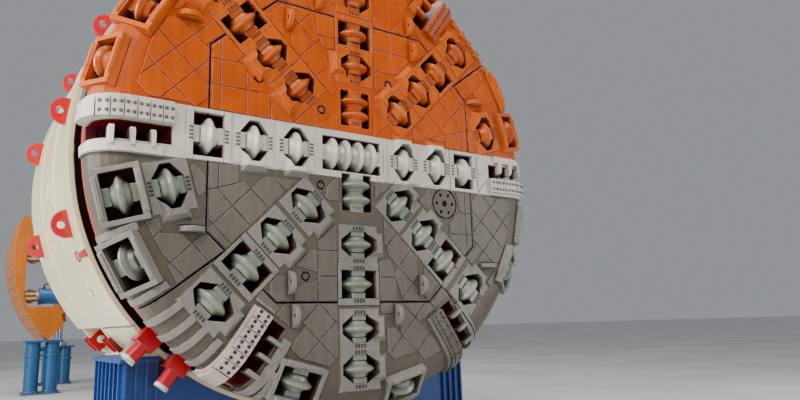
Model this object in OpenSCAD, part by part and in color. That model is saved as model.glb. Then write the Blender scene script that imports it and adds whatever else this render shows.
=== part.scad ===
/* [Bore and floor] */
// Diameter of the tunnel that the gauge cutters bore
bore_d = 7500; // [7460:10:7560]
// Height of the shields over the floor
floor_gap = 500; // [450:10:700]

/* [Cutterhead] */
// Radius of the round edge between face and rim
gauge_round = 390; // [360:10:410]
// How far the rim lies inside the bore
rim_inset = 110; // [105:5:130]
// Depth of the face structure
face_depth = 560; // [540:10:600]
// Width of the seams between the bolted pieces
seam = 28; // [16:2:40]
// Width of the centre block
block_w = 4460; // [4420:10:4500]
// Height of the centre block
block_h = 4280; // [4260:10:4320]
// Length of the centre block's upper and lower edges
block_flat_w = 2560; // [2500:10:2600]
// Length of the centre block's side edges
block_flat_h = 2500; // [2450:10:2550]
// Gap between the drum behind the face and the shields
drum_gap = 190; // [170:5:240]
// Length of the drum behind the face structure
drum_len = 840; // [800:10:860]
// Plate of the drum and its webs
drum_plate = 80; // [60:5:90]
// Radius of the hub that sits in the main bearing
hub_r = 2000; // [1900:10:2050]
// Radius of the muck opening in the middle
muck_r = 1200; // [1180:10:1250]

/* [Disc cutters] */
// Diameter of a cutter ring
disc_d = 483; // [463:2:483]
// How far the face rings stand out of the face
disc_proud = 150; // [130:5:160]
// Height of the wedges beside the housings
guide_up = 90; // [70:5:110]
// Height of the housings' plates and frames
plate_up = 22; // [16:2:30]
// Spacing of rings that share a housing
disc_pitch = 220; // [210:5:225]
// Half length of a housing along its shaft
pocket_half = 200; // [190:5:205]
// Half length of a housing along the rolling direction
pocket_reach = 290; // [280:5:300]
// Depth of a housing behind the face
pocket_deep = 380; // [370:5:400]

/* [Muck buckets] */
// Distance from the axis to a bucket's inner end
bucket_in = 2700; // [2660:10:2750]
// Width of a bucket's opening
bucket_w = 250; // [230:5:260]
// Length of a scraper plate from front to back edge
scraper_w = 240; // [220:5:250]
// Spacing of the scraper plates
scraper_pitch = 150; // [140:5:160]
// Thickness of the rail under the plates
rail_t = 50; // [40:5:55]
// Thickness of a scraper plate
scraper_t = 40; // [30:5:45]
// Thickness of a grizzly bar
grizzly_t = 50; // [40:5:60]

/* [Shields] */
// How far the shields lie inside the bore
shield_inset = 50; // [30:5:60]
// Thickness of a shield
shield_t = 60; // [50:5:70]
// Distance from the face to the shields' front edge
shield_y = 1100; // [1080:10:1150]
// Length of the shields
shield_len = 3650; // [3600:10:3700]
// Half angle of the invert shield
invert_half = 49.5; // [49:0.5:50]
// Half angle of the roof shield
roof_half = 40; // [38:1:42]
// Gap between two shields as an angle
shield_gap = 0.6; // [0.4:0.1:0.8]

/* [Cutterhead support] */
// Radius of the support
support_r = 2950; // [2900:10:2980]
// Length of the support
support_len = 1500; // [1400:10:1600]
// Number of drive motors
motor_n = 10; // [8:1:10]
// Diameter of a drive motor
motor_d = 520; // [460:10:540]
// Length of a drive motor with its gearbox
motor_len = 1600; // [1400:20:1650]

/* [Main beam] */
// Width of the beam
beam_w = 1900; // [1860:10:1920]
// Height of the beam
beam_h = 2000; // [1960:10:2020]
// Plate of the beam
beam_t = 50; // [40:5:70]
// Distance from the face to the beam's joint
beam_joint = 9500; // [9450:10:9550]
// Distance from the face to the beam's rear end
beam_end = 19600; // [19500:10:19700]
// Thickness of a guide rail
guide_t = 150; // [140:5:160]

/* [Grippers] */
// Distance from the face to the shoes' front plate
shoe_y = 14500; // [14450:10:14550]
// Length of a shoe along the tunnel
shoe_len = 2600; // [2500:10:2640]
// Half angle of a shoe
shoe_half = 31; // [30:0.5:32]
// Angle of a shoe's middle below the axis
shoe_dip = 13; // [12:0.5:13]
// How far a shoe stands back from the bore
shoe_back = 700; // [680:10:720]
// Full thickness of a shoe in its middle
shoe_deep = 1030; // [1000:10:1050]
// Thickness of a shoe's skin
skin_t = 80; // [70:5:90]
// Height of the middle of the gripper cylinders
grip_z = -600; // [-620:10:-580]
// Spacing of the two gripper cylinders on one side
grip_gap = 1260; // [1220:10:1280]
// Diameter of a gripper cylinder
grip_d = 480; // [440:10:500]
// Diameter of a gripper rod
grip_rod_d = 320; // [300:10:340]
// Width of the carriage
carriage_w = 2700; // [2660:10:2720]
// Length of the carriage
carriage_len = 1900; // [1860:10:1940]

/* [Thrust] */
// Travel of the carriage along the beam
stroke = 1800; // [1760:10:1810]
// Diameter of a thrust cylinder
thrust_d = 380; // [360:10:390]
// Diameter of a thrust rod
thrust_rod_d = 240; // [220:10:260]

/* [Rear support] */
// Diameter of a rear leg's cylinder
leg_d = 400; // [380:10:420]
// Diameter of a rear leg's rod
leg_rod_d = 300; // [280:10:320]
// Height of the rear feet below the axis
foot_z = -2850; // [-2860:10:-2840]

/* [Stands] */
// Height of the cradle's shoulders over the shields' bottom
cradle_wrap = 900; // [800:10:1000]
// Width of a shoulder of the cradle
cradle_shoulder = 450; // [400:10:500]
// Length of the cradle along the machine
cradle_len = 1600; // [1500:10:1700]
// Diameter of a stand's pipes
pipe_d = 400; // [360:10:420]
// Spacing of a stand's pipes
pipe_gap = 520; // [500:10:560]

/* [Hidden] */
bore_r = bore_d / 2;
shield_r = bore_r - shield_inset;
axis_h = shield_r + floor_gap;
rim_r = bore_r - rim_inset;
flat_r = rim_r - gauge_round;
gauge_steps = 6;
round_fn = 240;
group_end = 170;
hex_side = 115;
hub_half = 110;
gauge_up = 30;
rim_bar_up = 35;
rim_bar_angles = [202, 215.5, 220.5, 224.5, 228, 232, 247];
lip_up = 40;
fin_up = 75;
fin_r = 70;
fin_reach = 160;
fin_deep = 250;
seam_turn = 0.25;
lug_r = 160;
lug_t = 60;
lug_up = 95;
lug_hole = 32;
port_r = 260;
spray_r = 75;
hex_tip = 65;
wedge_reach = 170;
disc_r = disc_d / 2;
group_reach = disc_r + 14;
drum_back = face_depth + drum_len;
fit = 0.3;
far = 2 * bore_r;
cradle_y = shield_y + 100;
cradle_mid = cradle_y + cradle_len / 2;
shield_in = shield_r - shield_t;
drum_r = shield_in - drum_gap;
shield_end = shield_y + shield_len;
support_y = drum_back + 100;
support_end = support_y + support_len;
hub_deep = 300;
beam_y = support_end;
carriage_y = shoe_y + (shoe_len - carriage_len) / 2;
carriage_end = carriage_y + carriage_len;
grip_y = carriage_y + carriage_len / 2;
guide_x = beam_w / 2 + guide_t;
leg_y = carriage_end + stroke + 400;

// Columns: angle of the arm, places inside the block's edge, at the edge and outside it, in thousandths
// of the flat face's radius
arms = [
    [0, [268, 468], [649], []],
    [180, [305, 498], [689], []],
    [90, [431], [594], [778, 948]],
    [270, [409], [585], [778, 948]],
    [45.5, [351, 532], [708], [905]],
    [225, [360, 554], [738], [932]],
    [317, [314, 508], [680], [886]],
    [136.5, [400, 585], [757], [935]],
    [195, [], [], [865]],
    [15.5, [], [], [849]]];
// Columns: angle, place of the housing's middle in thousandths of the flat face's radius, number of rings
groups = [[90, 226, 2], [270, 172, 2], [180, 22, 4]];
// Columns: angle, tilt of the ring out of the face's normal
gauges = [[195, 20], [208.4, 51], [166.6, 66], [152.4, 38], [253.4, 16], [283.3, 40]];
// Columns: direction of a bucket, offset of its lip from the radius
buckets = [[180, -50], [235, 240], [303, 0]];
seams = [37, 129.5, 217, 309.5];
// Columns: x, z, turn of a lifting lug on the face
lugs = [[-1090, -1890, 0], [-1030, -2330, 0], [1130, -1900, 0], [650, -2340, 0],
    [-2420, -1250, 90], [-2540, 1570, 90]];
// Columns: x, z of the covers with six slots
ports = [[1680, -580], [630, 2500]];
// Columns: x, z of the spray nozzles
sprays = [[-580, 630], [-600, -500], [-850, -1800], [1350, 1780], [620, 1250], [-1560, 920]];

// Frames and shared forms

module on_axis() translate([0, -cradle_mid, axis_h]) children();

module slab(y0, y1) translate([0, y1, 0]) rotate([90, 0, 0]) linear_extrude(y1 - y0) children();

module turned() rotate([-90, 0, 0]) rotate_extrude($fn = round_fn) children();

module rod_y(d, y0, y1) translate([0, y0, 0]) rotate([-90, 0, 0]) cylinder(d = d, h = y1 - y0, $fn = 48);

module rod_x(d, x0, x1) translate([x0, 0, 0]) rotate([0, 90, 0]) cylinder(d = d, h = x1 - x0, $fn = 48);

module at_angle(a, r = 0) rotate([0, -a, 0]) translate([r, 0, 0]) children();

// Place of a housing, in thousandths of the flat face's radius
module at_place(a, share) at_angle(a, flat_r * share / 1000) children();

module both() {
    children();
    mirror([1, 0, 0]) children();
}

module half_turn() {
    children();
    rotate([0, 180, 0]) children();
}

// Box between two corners
module box(a, b) translate(a) cube(b - a);

// Profile in the plane of the axis, pulled out to the right
module across(x0, x1) translate([x0, 0, 0]) rotate([90, 0, 90]) linear_extrude(x1 - x0) children();

// Block on the face with four sloping sides: half sizes at its foot, height and run of a slope
module raised(w, l, h, c) intersection() {
    linear_extrude(2 * l, center = true)
        polygon([[-w, 0], [c - w, -h], [w - c, -h], [w, 0], [w, 30], [-w, 30]]);
    across(-w, w) polygon([[0, -l], [-h, c - l], [-h, l - c], [0, l], [30, l], [30, -l]]);
}

// Angular region seen from the front
module wedge(a0, a1) {
    mid = (a0 + a1) / 2;
    polygon([[0, 0], far * [cos(a0), sin(a0)], far * [cos(mid), sin(mid)], far * [cos(a1), sin(a1)]]);
}

// Outline of a box with cut corners: half width, half height and the cut
function cut_corners(w, h, c) = [[w, h - c], [w - c, h], [c - w, h], [-w, h - c], [-w, c - h],
    [c - w, -h], [w - c, -h], [w, c - h]];

module arc_plate(r0, r1, a0, a1) intersection() {
    difference() {
        circle(r1, $fn = round_fn);
        circle(r0, $fn = round_fn);
    }
    wedge(a0, a1);
}

// Cutterhead

function gauge_arc(d) = [for (i = [0:gauge_steps]) let (t = i * 90 / gauge_steps)
    [flat_r + (gauge_round + d) * sin(t), gauge_round - (gauge_round + d) * cos(t)]];

module head_form(d) turned()
    polygon(concat([[0, -d]], gauge_arc(d), [[rim_r + d, face_depth], [0, face_depth]]));

function octagon(g) = let (w = block_w / 2 + g, h = block_h / 2 + g,
    fw = block_flat_w / 2 + 0.41 * g, fh = block_flat_h / 2 + 0.41 * g)
    [[w, fh], [fw, h], [-fw, h], [-w, fh], [-w, -fh], [-fw, -h], [fw, -h], [w, -fh]];

function hex_points(r, l) = [[r, hex_side], [hex_tip, l], [-hex_tip, l], [-r, hex_side],
    [-r, -hex_side], [-hex_tip, -l], [hex_tip, -l], [r, -hex_side]];

module hex_pocket() slab(-2 * guide_up, pocket_deep) polygon(hex_points(pocket_half, pocket_reach));

module square_pocket(half, reach) slab(-2 * guide_up, pocket_deep)
    square([2 * half, 2 * reach], center = true);

// Housing plate, with a wedge behind its opening that turns rock away from the ring
module housing_plate() {
    raised(pocket_half + 95, pocket_reach + 50, plate_up, plate_up);
    translate([0, 0, pocket_reach - 20]) raised(pocket_half - 10, wedge_reach, guide_up, 75);
}

module housing_plates(inside) difference() {
    for (a = arms) {
        for (r = inside ? a[1] : a[3]) at_place(a[0], r) housing_plate();
    }
    pockets();
}

function group_half(n) = group_end + (n - 1) * disc_pitch / 2;

module at_gauge(g) at_angle(g[0]) translate([flat_r, gauge_round, 0]) rotate([0, 0, g[1]])
    translate([0, -gauge_round, 0]) children();

module pockets() {
    for (a = arms) {
        for (r = concat(a[1], a[3])) at_place(a[0], r) hex_pocket();
        for (r = a[2]) at_place(a[0], r) square_pocket(pocket_half, pocket_reach);
    }
    for (g = groups) at_place(g[0], g[1]) square_pocket(group_half(g[2]), group_reach);
    half_turn() for (g = gauges) at_gauge(g) translate([0, -rim_inset, 0])
        box([-pocket_half, -1, -pocket_reach], [pocket_half, pocket_deep + rim_inset, pocket_reach]);
}

module at_bucket(b) rotate([0, -b[0], 0]) translate([0, 0, b[1]]) children();

module bucket_cuts() half_turn() for (b = buckets) at_bucket(b)
    box([bucket_in, -rim_inset, 0], [far, face_depth + 1, bucket_w]);

module bucket_rails() half_turn() for (b = buckets) intersection() {
    head_form(rail_t);
    at_bucket(b) box([bucket_in, -rim_inset, -scraper_w - 60], [far, face_depth - 20, bucket_w / 2]);
}

// Fins across a bucket's opening, with a rounded end over the gap
module grizzly_bars() half_turn() for (b = buckets) intersection() {
    head_form(fin_up + 4);
    at_bucket(b) for (u = [bucket_in + 210 : 240 : flat_r + 200]) across(u, u + grizzly_t) {
        translate([fin_r - fin_up, bucket_w - fin_reach + fin_r]) circle(fin_r, $fn = 48);
        translate([-fin_up, bucket_w - fin_reach + fin_r]) square([fin_deep, fin_reach]);
        translate([fin_r - fin_up, bucket_w - fin_reach]) square([fin_deep - fin_r, fin_reach]);
    }
}

module segment(a0, a1) difference() {
    intersection() {
        difference() {
            union() {
                head_form(0);
                bucket_rails();
            }
            bucket_cuts();
        }
        slab(-rim_inset, face_depth) wedge(a0, a1);
    }
    slab(-rim_inset, face_depth + 1) polygon(octagon(seam));
    for (s = seams) at_angle(s) box([0, -rim_inset, -seam / 2], [far, face_depth + 1, seam / 2]);
    pockets();
}

// Recesses of the slotted covers and of the spray nozzles
module face_recesses() {
    for (p = ports) translate([p[0], 0, p[1]]) {
        slab(-1, 40) difference() {
            circle(port_r, $fn = 48);
            circle(port_r - 35, $fn = 48);
        }
        slab(-1, 60) {
            circle(55, $fn = 48);
            for (i = [0:5]) rotate(i * 60) translate([130, -28]) square([60, 56]);
        }
    }
    for (p = sprays) translate([p[0], 0, p[1]]) slab(-1, 45) difference() {
        circle(spray_r, $fn = 48);
        circle(spray_r - 40, $fn = 48);
    }
}

module head_centre_block() color("lightgray") on_axis() {
    difference() {
        slab(0, face_depth) polygon(octagon(0));
        pockets();
        face_recesses();
    }
    intersection() {
        housing_plates(true);
        slab(-far, far) polygon(octagon(0));
    }
}

// Frames that guard the gauge cutters, with a bar along each side
module gauge_frames() half_turn() difference() {
    for (g = gauges) at_gauge(g) {
        box([-pocket_half - 75, -gauge_up, -pocket_reach - 60], [pocket_half + 75, 90, pocket_reach + 60]);
        for (s = [-1, 1]) translate([s * (pocket_half + 50), -gauge_up, 0])
            raised(35, pocket_reach - 30, 25, 15);
    }
    pockets();
}

// Bars round the rim that keep it off the rock
module rim_bars() half_turn() intersection() {
    head_form(rim_bar_up);
    union() for (a = rim_bar_angles) at_angle(a)
        box([flat_r + 60, -rim_inset, -45], [far, face_depth - 30, 45]);
}

// Bar that guards a bucket's trailing lip
module lip_guards() half_turn() for (b = buckets) intersection() {
    head_form(lip_up);
    at_bucket(b) box([bucket_in + 120, -rim_inset, bucket_w + 40], [far, face_depth - 40, bucket_w + 170]);
}

module head_segment(a0, a1) on_axis() {
    segment(a0, a1);
    difference() {
        intersection() {
            union() {
                grizzly_bars();
                housing_plates(false);
                gauge_frames();
                rim_bars();
                lip_guards();
            }
            slab(-far, far) wedge(a0 + seam_turn, a1 - seam_turn);
        }
        pockets();
        slab(-far, far) polygon(octagon(seam));
        half_turn() for (b = buckets) at_bucket(b) box([bucket_in, -far, -scraper_w - 60],
            [far, far, 0]);
    }
}

module head_right_segment() color("gray") head_segment(seams[3] - 360, seams[0]);

module head_top_segment() color("darkorange") head_segment(seams[0], seams[1]);

module head_left_segment() color("gray") head_segment(seams[1], seams[2]);

module head_bottom_segment() color("gray") head_segment(seams[2], seams[3]);

// Rings on one shaft with a retainer at each end of the housing
module cutter(n = 1, end = pocket_half) {
    inner = (n - 1) * disc_pitch / 2;
    translate([0, disc_r - disc_proud, 0]) {
        for (i = [0 : n - 1]) translate([i * disc_pitch - inner, 0, 0]) rotate([0, 90, 0])
            rotate_extrude($fn = 48) polygon([[0, -hub_half], [130, -hub_half], [165, -60], [205, -42],
                [disc_r, -12], [disc_r, 12], [205, 42], [165, 60], [130, hub_half], [0, hub_half]]);
        rod_x(150, -end, end);
    }
    for (s = [-1, 1]) translate([s * (end - 40), 130, 0]) cube([80, 260, 220], center = true);
}

module face_cutters() color("silver") on_axis() {
    for (a = arms) for (r = concat(a[1], a[2], a[3])) at_place(a[0], r) cutter();
    for (g = groups) at_place(g[0], g[1]) cutter(g[2], group_half(g[2]));
}

module gauge_cutters() color("silver") on_axis() half_turn() for (g = gauges) at_gauge(g)
    translate([0, disc_proud - rim_inset, 0]) cutter();

module scraper_plates() color("white") on_axis() half_turn() for (b = buckets) intersection() {
    difference() {
        head_form(rail_t + scraper_t);
        head_form(rail_t);
    }
    at_bucket(b) for (u = [bucket_in : scraper_pitch : rim_r]) box([u, -rim_inset, -scraper_w - 10],
        [u + scraper_pitch - 12, face_depth - 30, -10]);
}

module padeye() translate([-lug_t / 2, 0, 0]) rotate([0, 90, 0]) linear_extrude(lug_t) difference() {
    intersection() {
        circle(lug_r, $fn = 48);
        translate([-lug_r, -lug_r]) square([2 * lug_r, lug_r - fit]);
    }
    translate([0, -lug_up]) circle(lug_hole, $fn = 48);
}

module head_lugs() color("silver") on_axis() half_turn() for (l = lugs) translate([l[0], 0, l[1]])
    rotate([0, l[2], 0]) padeye();

module rear_ring() color("firebrick") on_axis() turned()
    polygon([[drum_r + 20, face_depth], [rim_r - 40, face_depth], [rim_r - 40, face_depth + 260],
        [drum_r + 20, face_depth + 260]]);

module head_drum() color("maroon") on_axis() turned()
    polygon([[drum_r - drum_plate, face_depth], [drum_r, face_depth], [drum_r, drum_back - drum_plate],
        [drum_r - drum_plate, drum_back - drum_plate]]);

// Rear plate of the drum with the hub in the main bearing
module drum_back_plate() color("maroon") on_axis() turned()
    polygon([[drum_r, drum_back - drum_plate + fit], [drum_r, drum_back], [hub_r, drum_back],
        [hub_r, drum_back + hub_deep], [muck_r, drum_back + hub_deep],
        [muck_r, drum_back - drum_plate + fit]]);

module drum_webs() color("maroon") on_axis() for (i = [0:7]) at_angle(22.5 + i * 45)
    box([muck_r + 100, face_depth + fit, -drum_plate / 2],
        [drum_r - drum_plate - 1, drum_back - drum_plate, drum_plate / 2]);

// Front support and shields

module head_support() color("gainsboro") on_axis() turned()
    polygon([[hub_r + fit, support_y], [support_r, support_y], [support_r, support_end],
        [hub_r + fit, support_end]]);

// Ring behind the bearing that the beam is bolted to
module support_core() color("gainsboro") on_axis() turned()
    polygon([[muck_r - 50, drum_back + hub_deep + fit], [hub_r, drum_back + hub_deep + fit],
        [hub_r, support_end], [muck_r - 50, support_end]]);

// Gearbox in three steps, then the motor with its terminal box and its fan cover
module drive_motors() color("steelblue") on_axis() for (i = [0 : motor_n - 1])
    at_angle(18 + i * 360 / motor_n, support_r - 850) {
        rod_y(motor_d + 160, support_end + fit, support_end + 60);
        rod_y(motor_d + 60, support_end + 40, support_end + 340);
        rod_y(motor_d + 120, support_end + 320, support_end + 380);
        rod_y(motor_d - 60, support_end + 360, support_end + 620);
        rod_y(motor_d + 80, support_end + 600, support_end + 650);
        rod_y(motor_d, support_end + 640, support_end + motor_len - 140);
        rod_y(motor_d - 60, support_end + motor_len - 160, support_end + motor_len);
        box([motor_d / 2 - 40, support_end + 800, -130], [motor_d / 2 + 130, support_end + 1180, 130]);
    }

module within_shield() turned()
    polygon([[0, 0], [shield_r - 10, 0], [shield_r - 10, shield_end], [0, shield_end]]);

module shield(a0, a1) slab(shield_y, shield_end) arc_plate(shield_in, shield_r, a0, a1);

module invert_shield() color("wheat") on_axis() {
    slab(shield_y, notch_y) arc_plate(shield_in, shield_r, 270 - invert_half + shield_gap / 2,
        270 + invert_half - shield_gap / 2);
    slab(notch_y, shield_end) arc_plate(shield_in, shield_r, 270 - invert_rear, 270 + invert_rear);
    both() for (y = hinge_ys) {
        for (s = [-1, 1]) translate([0, s * 105, 0]) slab(y - 40, y + 40) intersection() {
            circle(shield_r, $fn = round_fn);
            polygon([[hinge_x + 90, hinge_z + 80], [hinge_x - 90, hinge_z - 40],
                shield_r * [cos(269 - invert_rear), sin(269 - invert_rear)],
                (shield_in - 120) * [cos(273 - invert_rear), sin(273 - invert_rear)]]);
        }
        translate([hinge_x, 0, hinge_z]) rod_y(2 * pin_r, y - 160, y + 160);
    }
    intersection() {
        turned() polygon([[support_r + fit, support_y], [shield_r - 10, support_y],
            [shield_r - 10, support_end], [support_r + fit, support_end]]);
        union() for (a = [230 : 20 : 310]) at_angle(a) box([0, 0, -60], [far, support_end, 60]);
    }
}

// Lifting lugs round the side shields
side_lug_angles = [150, 172, 196];
side_lug_ys = [shield_y + 450, shield_end - 600];
side_lug_r = 190;

// Half-round lug with its foot inside the shield
module lug_outline() difference() {
    union() {
        translate([0, 50]) intersection() {
            circle(side_lug_r, $fn = 48);
            translate([-side_lug_r, 0]) square([2 * side_lug_r, side_lug_r]);
        }
        translate([-side_lug_r, 0]) square([2 * side_lug_r, 51]);
    }
    translate([0, 120]) circle(50, $fn = 48);
}

side_top = 90 + roof_half + shield_gap / 2;
side_low = 270 - invert_half - shield_gap / 2;
hinge_r = shield_r - 90;
hinge_a = 225.4;
hinge_x = hinge_r * cos(hinge_a);
hinge_z = hinge_r * sin(hinge_a);
root_x = shield_in * cos(side_low - 1) - hinge_x;
root_z = shield_in * sin(side_low - 1) - hinge_z;
notch_y = shield_end - 1900;
hinge_ys = [notch_y + 200, shield_end - 250];
invert_rear = 40;
pin_r = 50;
push_ys = [support_y + 350, support_end - 350];
push_z = 300;
push_x = shield_in - 340;
push_reach = 180;

// Side shield on two lugs over its hinge pins, with flat seats for its cylinders
module side_shield() {
    shield(side_top, side_low);
    for (a = side_lug_angles) for (y = side_lug_ys) at_angle(a, shield_r - 10) translate([0, y, 0])
        rotate([0, 90, 0]) rotate([90, 0, 0]) linear_extrude(50, center = true) lug_outline();
    for (y = push_ys) intersection() {
        translate([0, y, push_z]) box([-shield_r + 10, -200, -200], [-push_x, 200, 200]);
        within_shield();
    }
    for (y = hinge_ys) translate([hinge_x, y, hinge_z]) slab(-60, 60) difference() {
        union() {
            circle(110, $fn = 48);
            polygon([[-105, -30], [root_x - 50, root_z], [root_x + 120, root_z], [90, 60]]);
        }
        circle(pin_r + fit, $fn = 48);
    }
}

// Columns: angle of a transport bracket, distance of its near side from the face
brackets = [[224.5, 900], [232.5, 880], [307.5, 880], [315.5, 900]];
bracket_r = shield_r - 160;
bracket_end = shield_r + 340;

// Block on the invert shield's front edge, with a tube that points outward
module shield_brackets() color("firebrick") on_axis() for (b = brackets) at_angle(b[0]) {
    difference() {
        box([bracket_r, b[1], -140], [shield_r + 90, shield_y + 90, 140]);
        turned() polygon([[0, shield_y - fit], [shield_r + fit, shield_y - fit],
            [shield_r + fit, far], [0, far]]);
    }
    translate([0, b[1] + 100, 0]) difference() {
        rod_x(200, shield_r, bracket_end);
        rod_x(90, bracket_end - 120, bracket_end + 1);
    }
}

module side_shield_left() color("wheat") on_axis() side_shield();

module side_shield_right() color("wheat") on_axis() mirror([1, 0, 0]) side_shield();

roof_x = 1300;
roof_xs = [-roof_x, roof_x];
roof_z = sqrt(shield_in * shield_in - roof_x * roof_x) - 280;

module roof_shield() color("wheat") on_axis() {
    shield(90 - roof_half + shield_gap / 2, 90 + roof_half - shield_gap / 2);
    for (x = roof_xs) for (y = push_ys) intersection() {
        translate([x, y, 0]) cylinder(d = 180, h = shield_r, $fn = 48);
        difference() {
            within_shield();
            box([-far, 0, -far], [far, far, roof_z - 220]);
        }
    }
}

module shield_cylinders() color("royalblue") on_axis() difference() {
    union() {
        for (x = roof_xs) for (y = push_ys) translate([x, y, support_r - 550]) cylinder(d = 300,
            h = roof_z - support_r + 550, $fn = 48);
        both() for (y = push_ys) translate([0, y, push_z]) rod_x(300, push_reach - push_x, 250 - support_r);
    }
    turned() polygon([[0, 0], [support_r + fit, 0], [support_r + fit, shield_end], [0, shield_end]]);
    for (x = roof_xs) for (y = push_ys) translate([x, y, roof_z - 240])
        cylinder(d = 180 + 2 * fit, h = 300, $fn = 48);
    both() for (y = push_ys) translate([0, y, push_z])
        rod_x(180 + 2 * fit, push_reach - push_x - 1, 340 - push_x);
}

module side_rods() for (y = push_ys) translate([0, y, push_z]) {
    rod_x(180, -push_x + fit, 300 - push_x);
    rod_x(280, -push_x + fit, -push_x + 60);
}

module side_rods_left() color("silver") on_axis() side_rods();

module side_rods_right() color("silver") on_axis() mirror([1, 0, 0]) side_rods();

// Main beam and what it carries

module beam_tube(y0, y1) slab(y0, y1) difference() {
    square([beam_w, beam_h], center = true);
    square([beam_w - 2 * beam_t, beam_h - 2 * beam_t], center = true);
}

tow_x = beam_w / 2 - 170;
tow_reach = 200;

module beam_flange(y0, y1) slab(y0, y1) difference() {
    square([beam_w + 300, beam_h + 300], center = true);
    square([beam_w - 2 * beam_t, beam_h - 2 * beam_t], center = true);
}

// Openings in the beam's sides for access, with a frame round each
hole_w = 330;
hole_h = 260;
hole_z = 120;
hole_rim = 60;
front_holes = [beam_y + 1000, beam_y + 2250];
rear_holes = [beam_joint + 900, beam_joint + 2000];

module hole_outline(more) polygon(cut_corners(hole_w + more, hole_h + more, 120));

module side_holes(ys) for (y = ys) across(-far, far) translate([y, hole_z]) hole_outline(0);

module hole_frames(ys) both() for (y = ys)
    across(beam_w / 2 - 5, beam_w / 2 + 30) translate([y, hole_z]) difference() {
        hole_outline(hole_rim);
        hole_outline(0);
    }

module main_beam_front() color("steelblue") on_axis() {
    beam_flange(beam_y, beam_y + 120);
    difference() {
        beam_tube(beam_y, beam_joint);
        side_holes(front_holes);
    }
    hole_frames(front_holes);
    beam_flange(beam_joint - 80, beam_joint);
    both() for (z = [-700, 700]) across(beam_w / 2 - 5, beam_w / 2 + 30)
        polygon([[beam_y + 119, z - 90], [beam_y + 119, z + 90], [beam_y + 700, z + 40],
            [beam_y + 700, z - 40]]);
}

module main_beam_rear() color("steelblue") on_axis() {
    beam_flange(beam_joint, beam_joint + 80);
    difference() {
        beam_tube(beam_joint, beam_end);
        side_holes(rear_holes);
    }
    hole_frames(rear_holes);
    both() box([tow_x - 120, beam_end - 40, 20 - beam_h / 2], [beam_w / 2 - 20, beam_end, beam_h / 2 - 20]);
}

// Two forks for the pin of what the machine tows
module tow_bracket() color("firebrick") on_axis() both() for (s = [-90, 50]) across(tow_x + s, tow_x + s + 40)
    difference() {
        union() {
            translate([beam_end + tow_reach, 0]) circle(150, $fn = 48);
            translate([beam_end + fit, -150]) square([tow_reach, 300]);
        }
        translate([beam_end + tow_reach, 0]) circle(60, $fn = 48);
    }

guide_y = carriage_y - 100;
guide_end = carriage_end + stroke + 55;

module guide_rails() color("silver") on_axis() both() for (z = [-500, 350])
    box([beam_w / 2, guide_y, z], [guide_x, guide_end, z + 150]);

module belt_conveyor() color("dimgray") on_axis() {
    box([-500, drum_back - 300, -300], [500, beam_end + 900, -270]);
    both() box([-620, drum_back - 300, -400], [-500, beam_end + 900, -150]);
    for (y = [support_end + 400 : 1500 : beam_end]) box([-beam_w / 2 + beam_t, y, -500],
        [beam_w / 2 - beam_t, y + 120, -400]);
    translate([0, 0, -230]) for (y = [drum_back - 150, beam_end + 750]) translate([0, y, 0])
        rod_x(300, -560, 560);
}

deck_y = 9700;
deck_end = 13700;
deck_z = beam_h / 2;

module work_deck() color("goldenrod") on_axis() {
    box([-1500, deck_y, deck_z], [1500, deck_end, deck_z + 60]);
    both() {
        for (y = [deck_y + 60 : 960 : deck_end]) translate([-1440, y, deck_z])
            cylinder(d = 50, h = 1100, $fn = 24);
        translate([-1440, 0, deck_z + 1100]) rod_y(50, deck_y, deck_end);
        translate([-1440, 0, deck_z + 600]) rod_y(50, deck_y, deck_end);
    }
}

// Cabinets, and a power pack with its tank, motor and pump
module deck_cabinets() color("gainsboro") on_axis() {
    floor_z = deck_z + 60 + fit;
    for (y = [deck_y + 300, deck_y + 1150]) {
        box([-1300, y, floor_z], [-800, y + 800, floor_z + 1500]);
        box([-801, y + 40, floor_z + 100], [-780, y + 760, floor_z + 1440]);
        box([-1340, y - 20, floor_z + 1500], [-760, y + 820, floor_z + 1560]);
    }
    box([300, deck_y + 400, floor_z], [1300, deck_y + 1900, floor_z + 700]);
    translate([800, 0, floor_z + 910]) {
        rod_y(400, deck_y + 500, deck_y + 1200);
        rod_y(300, deck_y + 1190, deck_y + 1500);
        for (y = [deck_y + 600, deck_y + 1050]) box([-180, y, -220], [180, y + 60, 0]);
    }
}

// Ring-beam erector

erect_y = 6000;
beam_corner = norm([beam_w, beam_h]) / 2;
erect_r = beam_corner + 270;

module erector_frame() color("goldenrod") on_axis() {
    slab(erect_y, erect_y + 500) difference() {
        circle(erect_r + 120, $fn = round_fn);
        square([beam_w + 2 * fit, beam_h + 2 * fit], center = true);
    }
    slab(erect_y - 260, erect_y) difference() {
        circle(erect_r, $fn = round_fn);
        circle(erect_r - 180, $fn = round_fn);
    }
}

module erector_ring() color("orange") on_axis() {
    slab(erect_y - 250, erect_y - 10) difference() {
        circle(erect_r + 220, $fn = round_fn);
        circle(erect_r + fit, $fn = round_fn);
    }
    difference() {
        box([-220, erect_y - 250, erect_r + 150], [220, erect_y - 10, erect_r + 900]);
        box([-120 - fit, erect_y - 190 - fit, erect_r + 300],
            [120 + fit, erect_y - 70 + fit, erect_r + 1000]);
    }
}

module erector_arm() color("silver") on_axis() {
    box([-120, erect_y - 190, erect_r + 320], [120, erect_y - 70, erect_r + 1000]);
    box([-300, erect_y - 230, erect_r + 1000], [300, erect_y - 30, erect_r + 1120]);
}

// Rock drills

drill_y = 8200;
drill_r = erect_r + 100;
drill_lean = 35;

module drill_ring() color("goldenrod") on_axis() {
    slab(drill_y, drill_y + 250) difference() {
        circle(drill_r, $fn = round_fn);
        circle(drill_r - 150, $fn = round_fn);
    }
    both() box([beam_w / 2, drill_y + 20, -120], [drill_r - 100, drill_y + 230, 120]);
}

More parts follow.
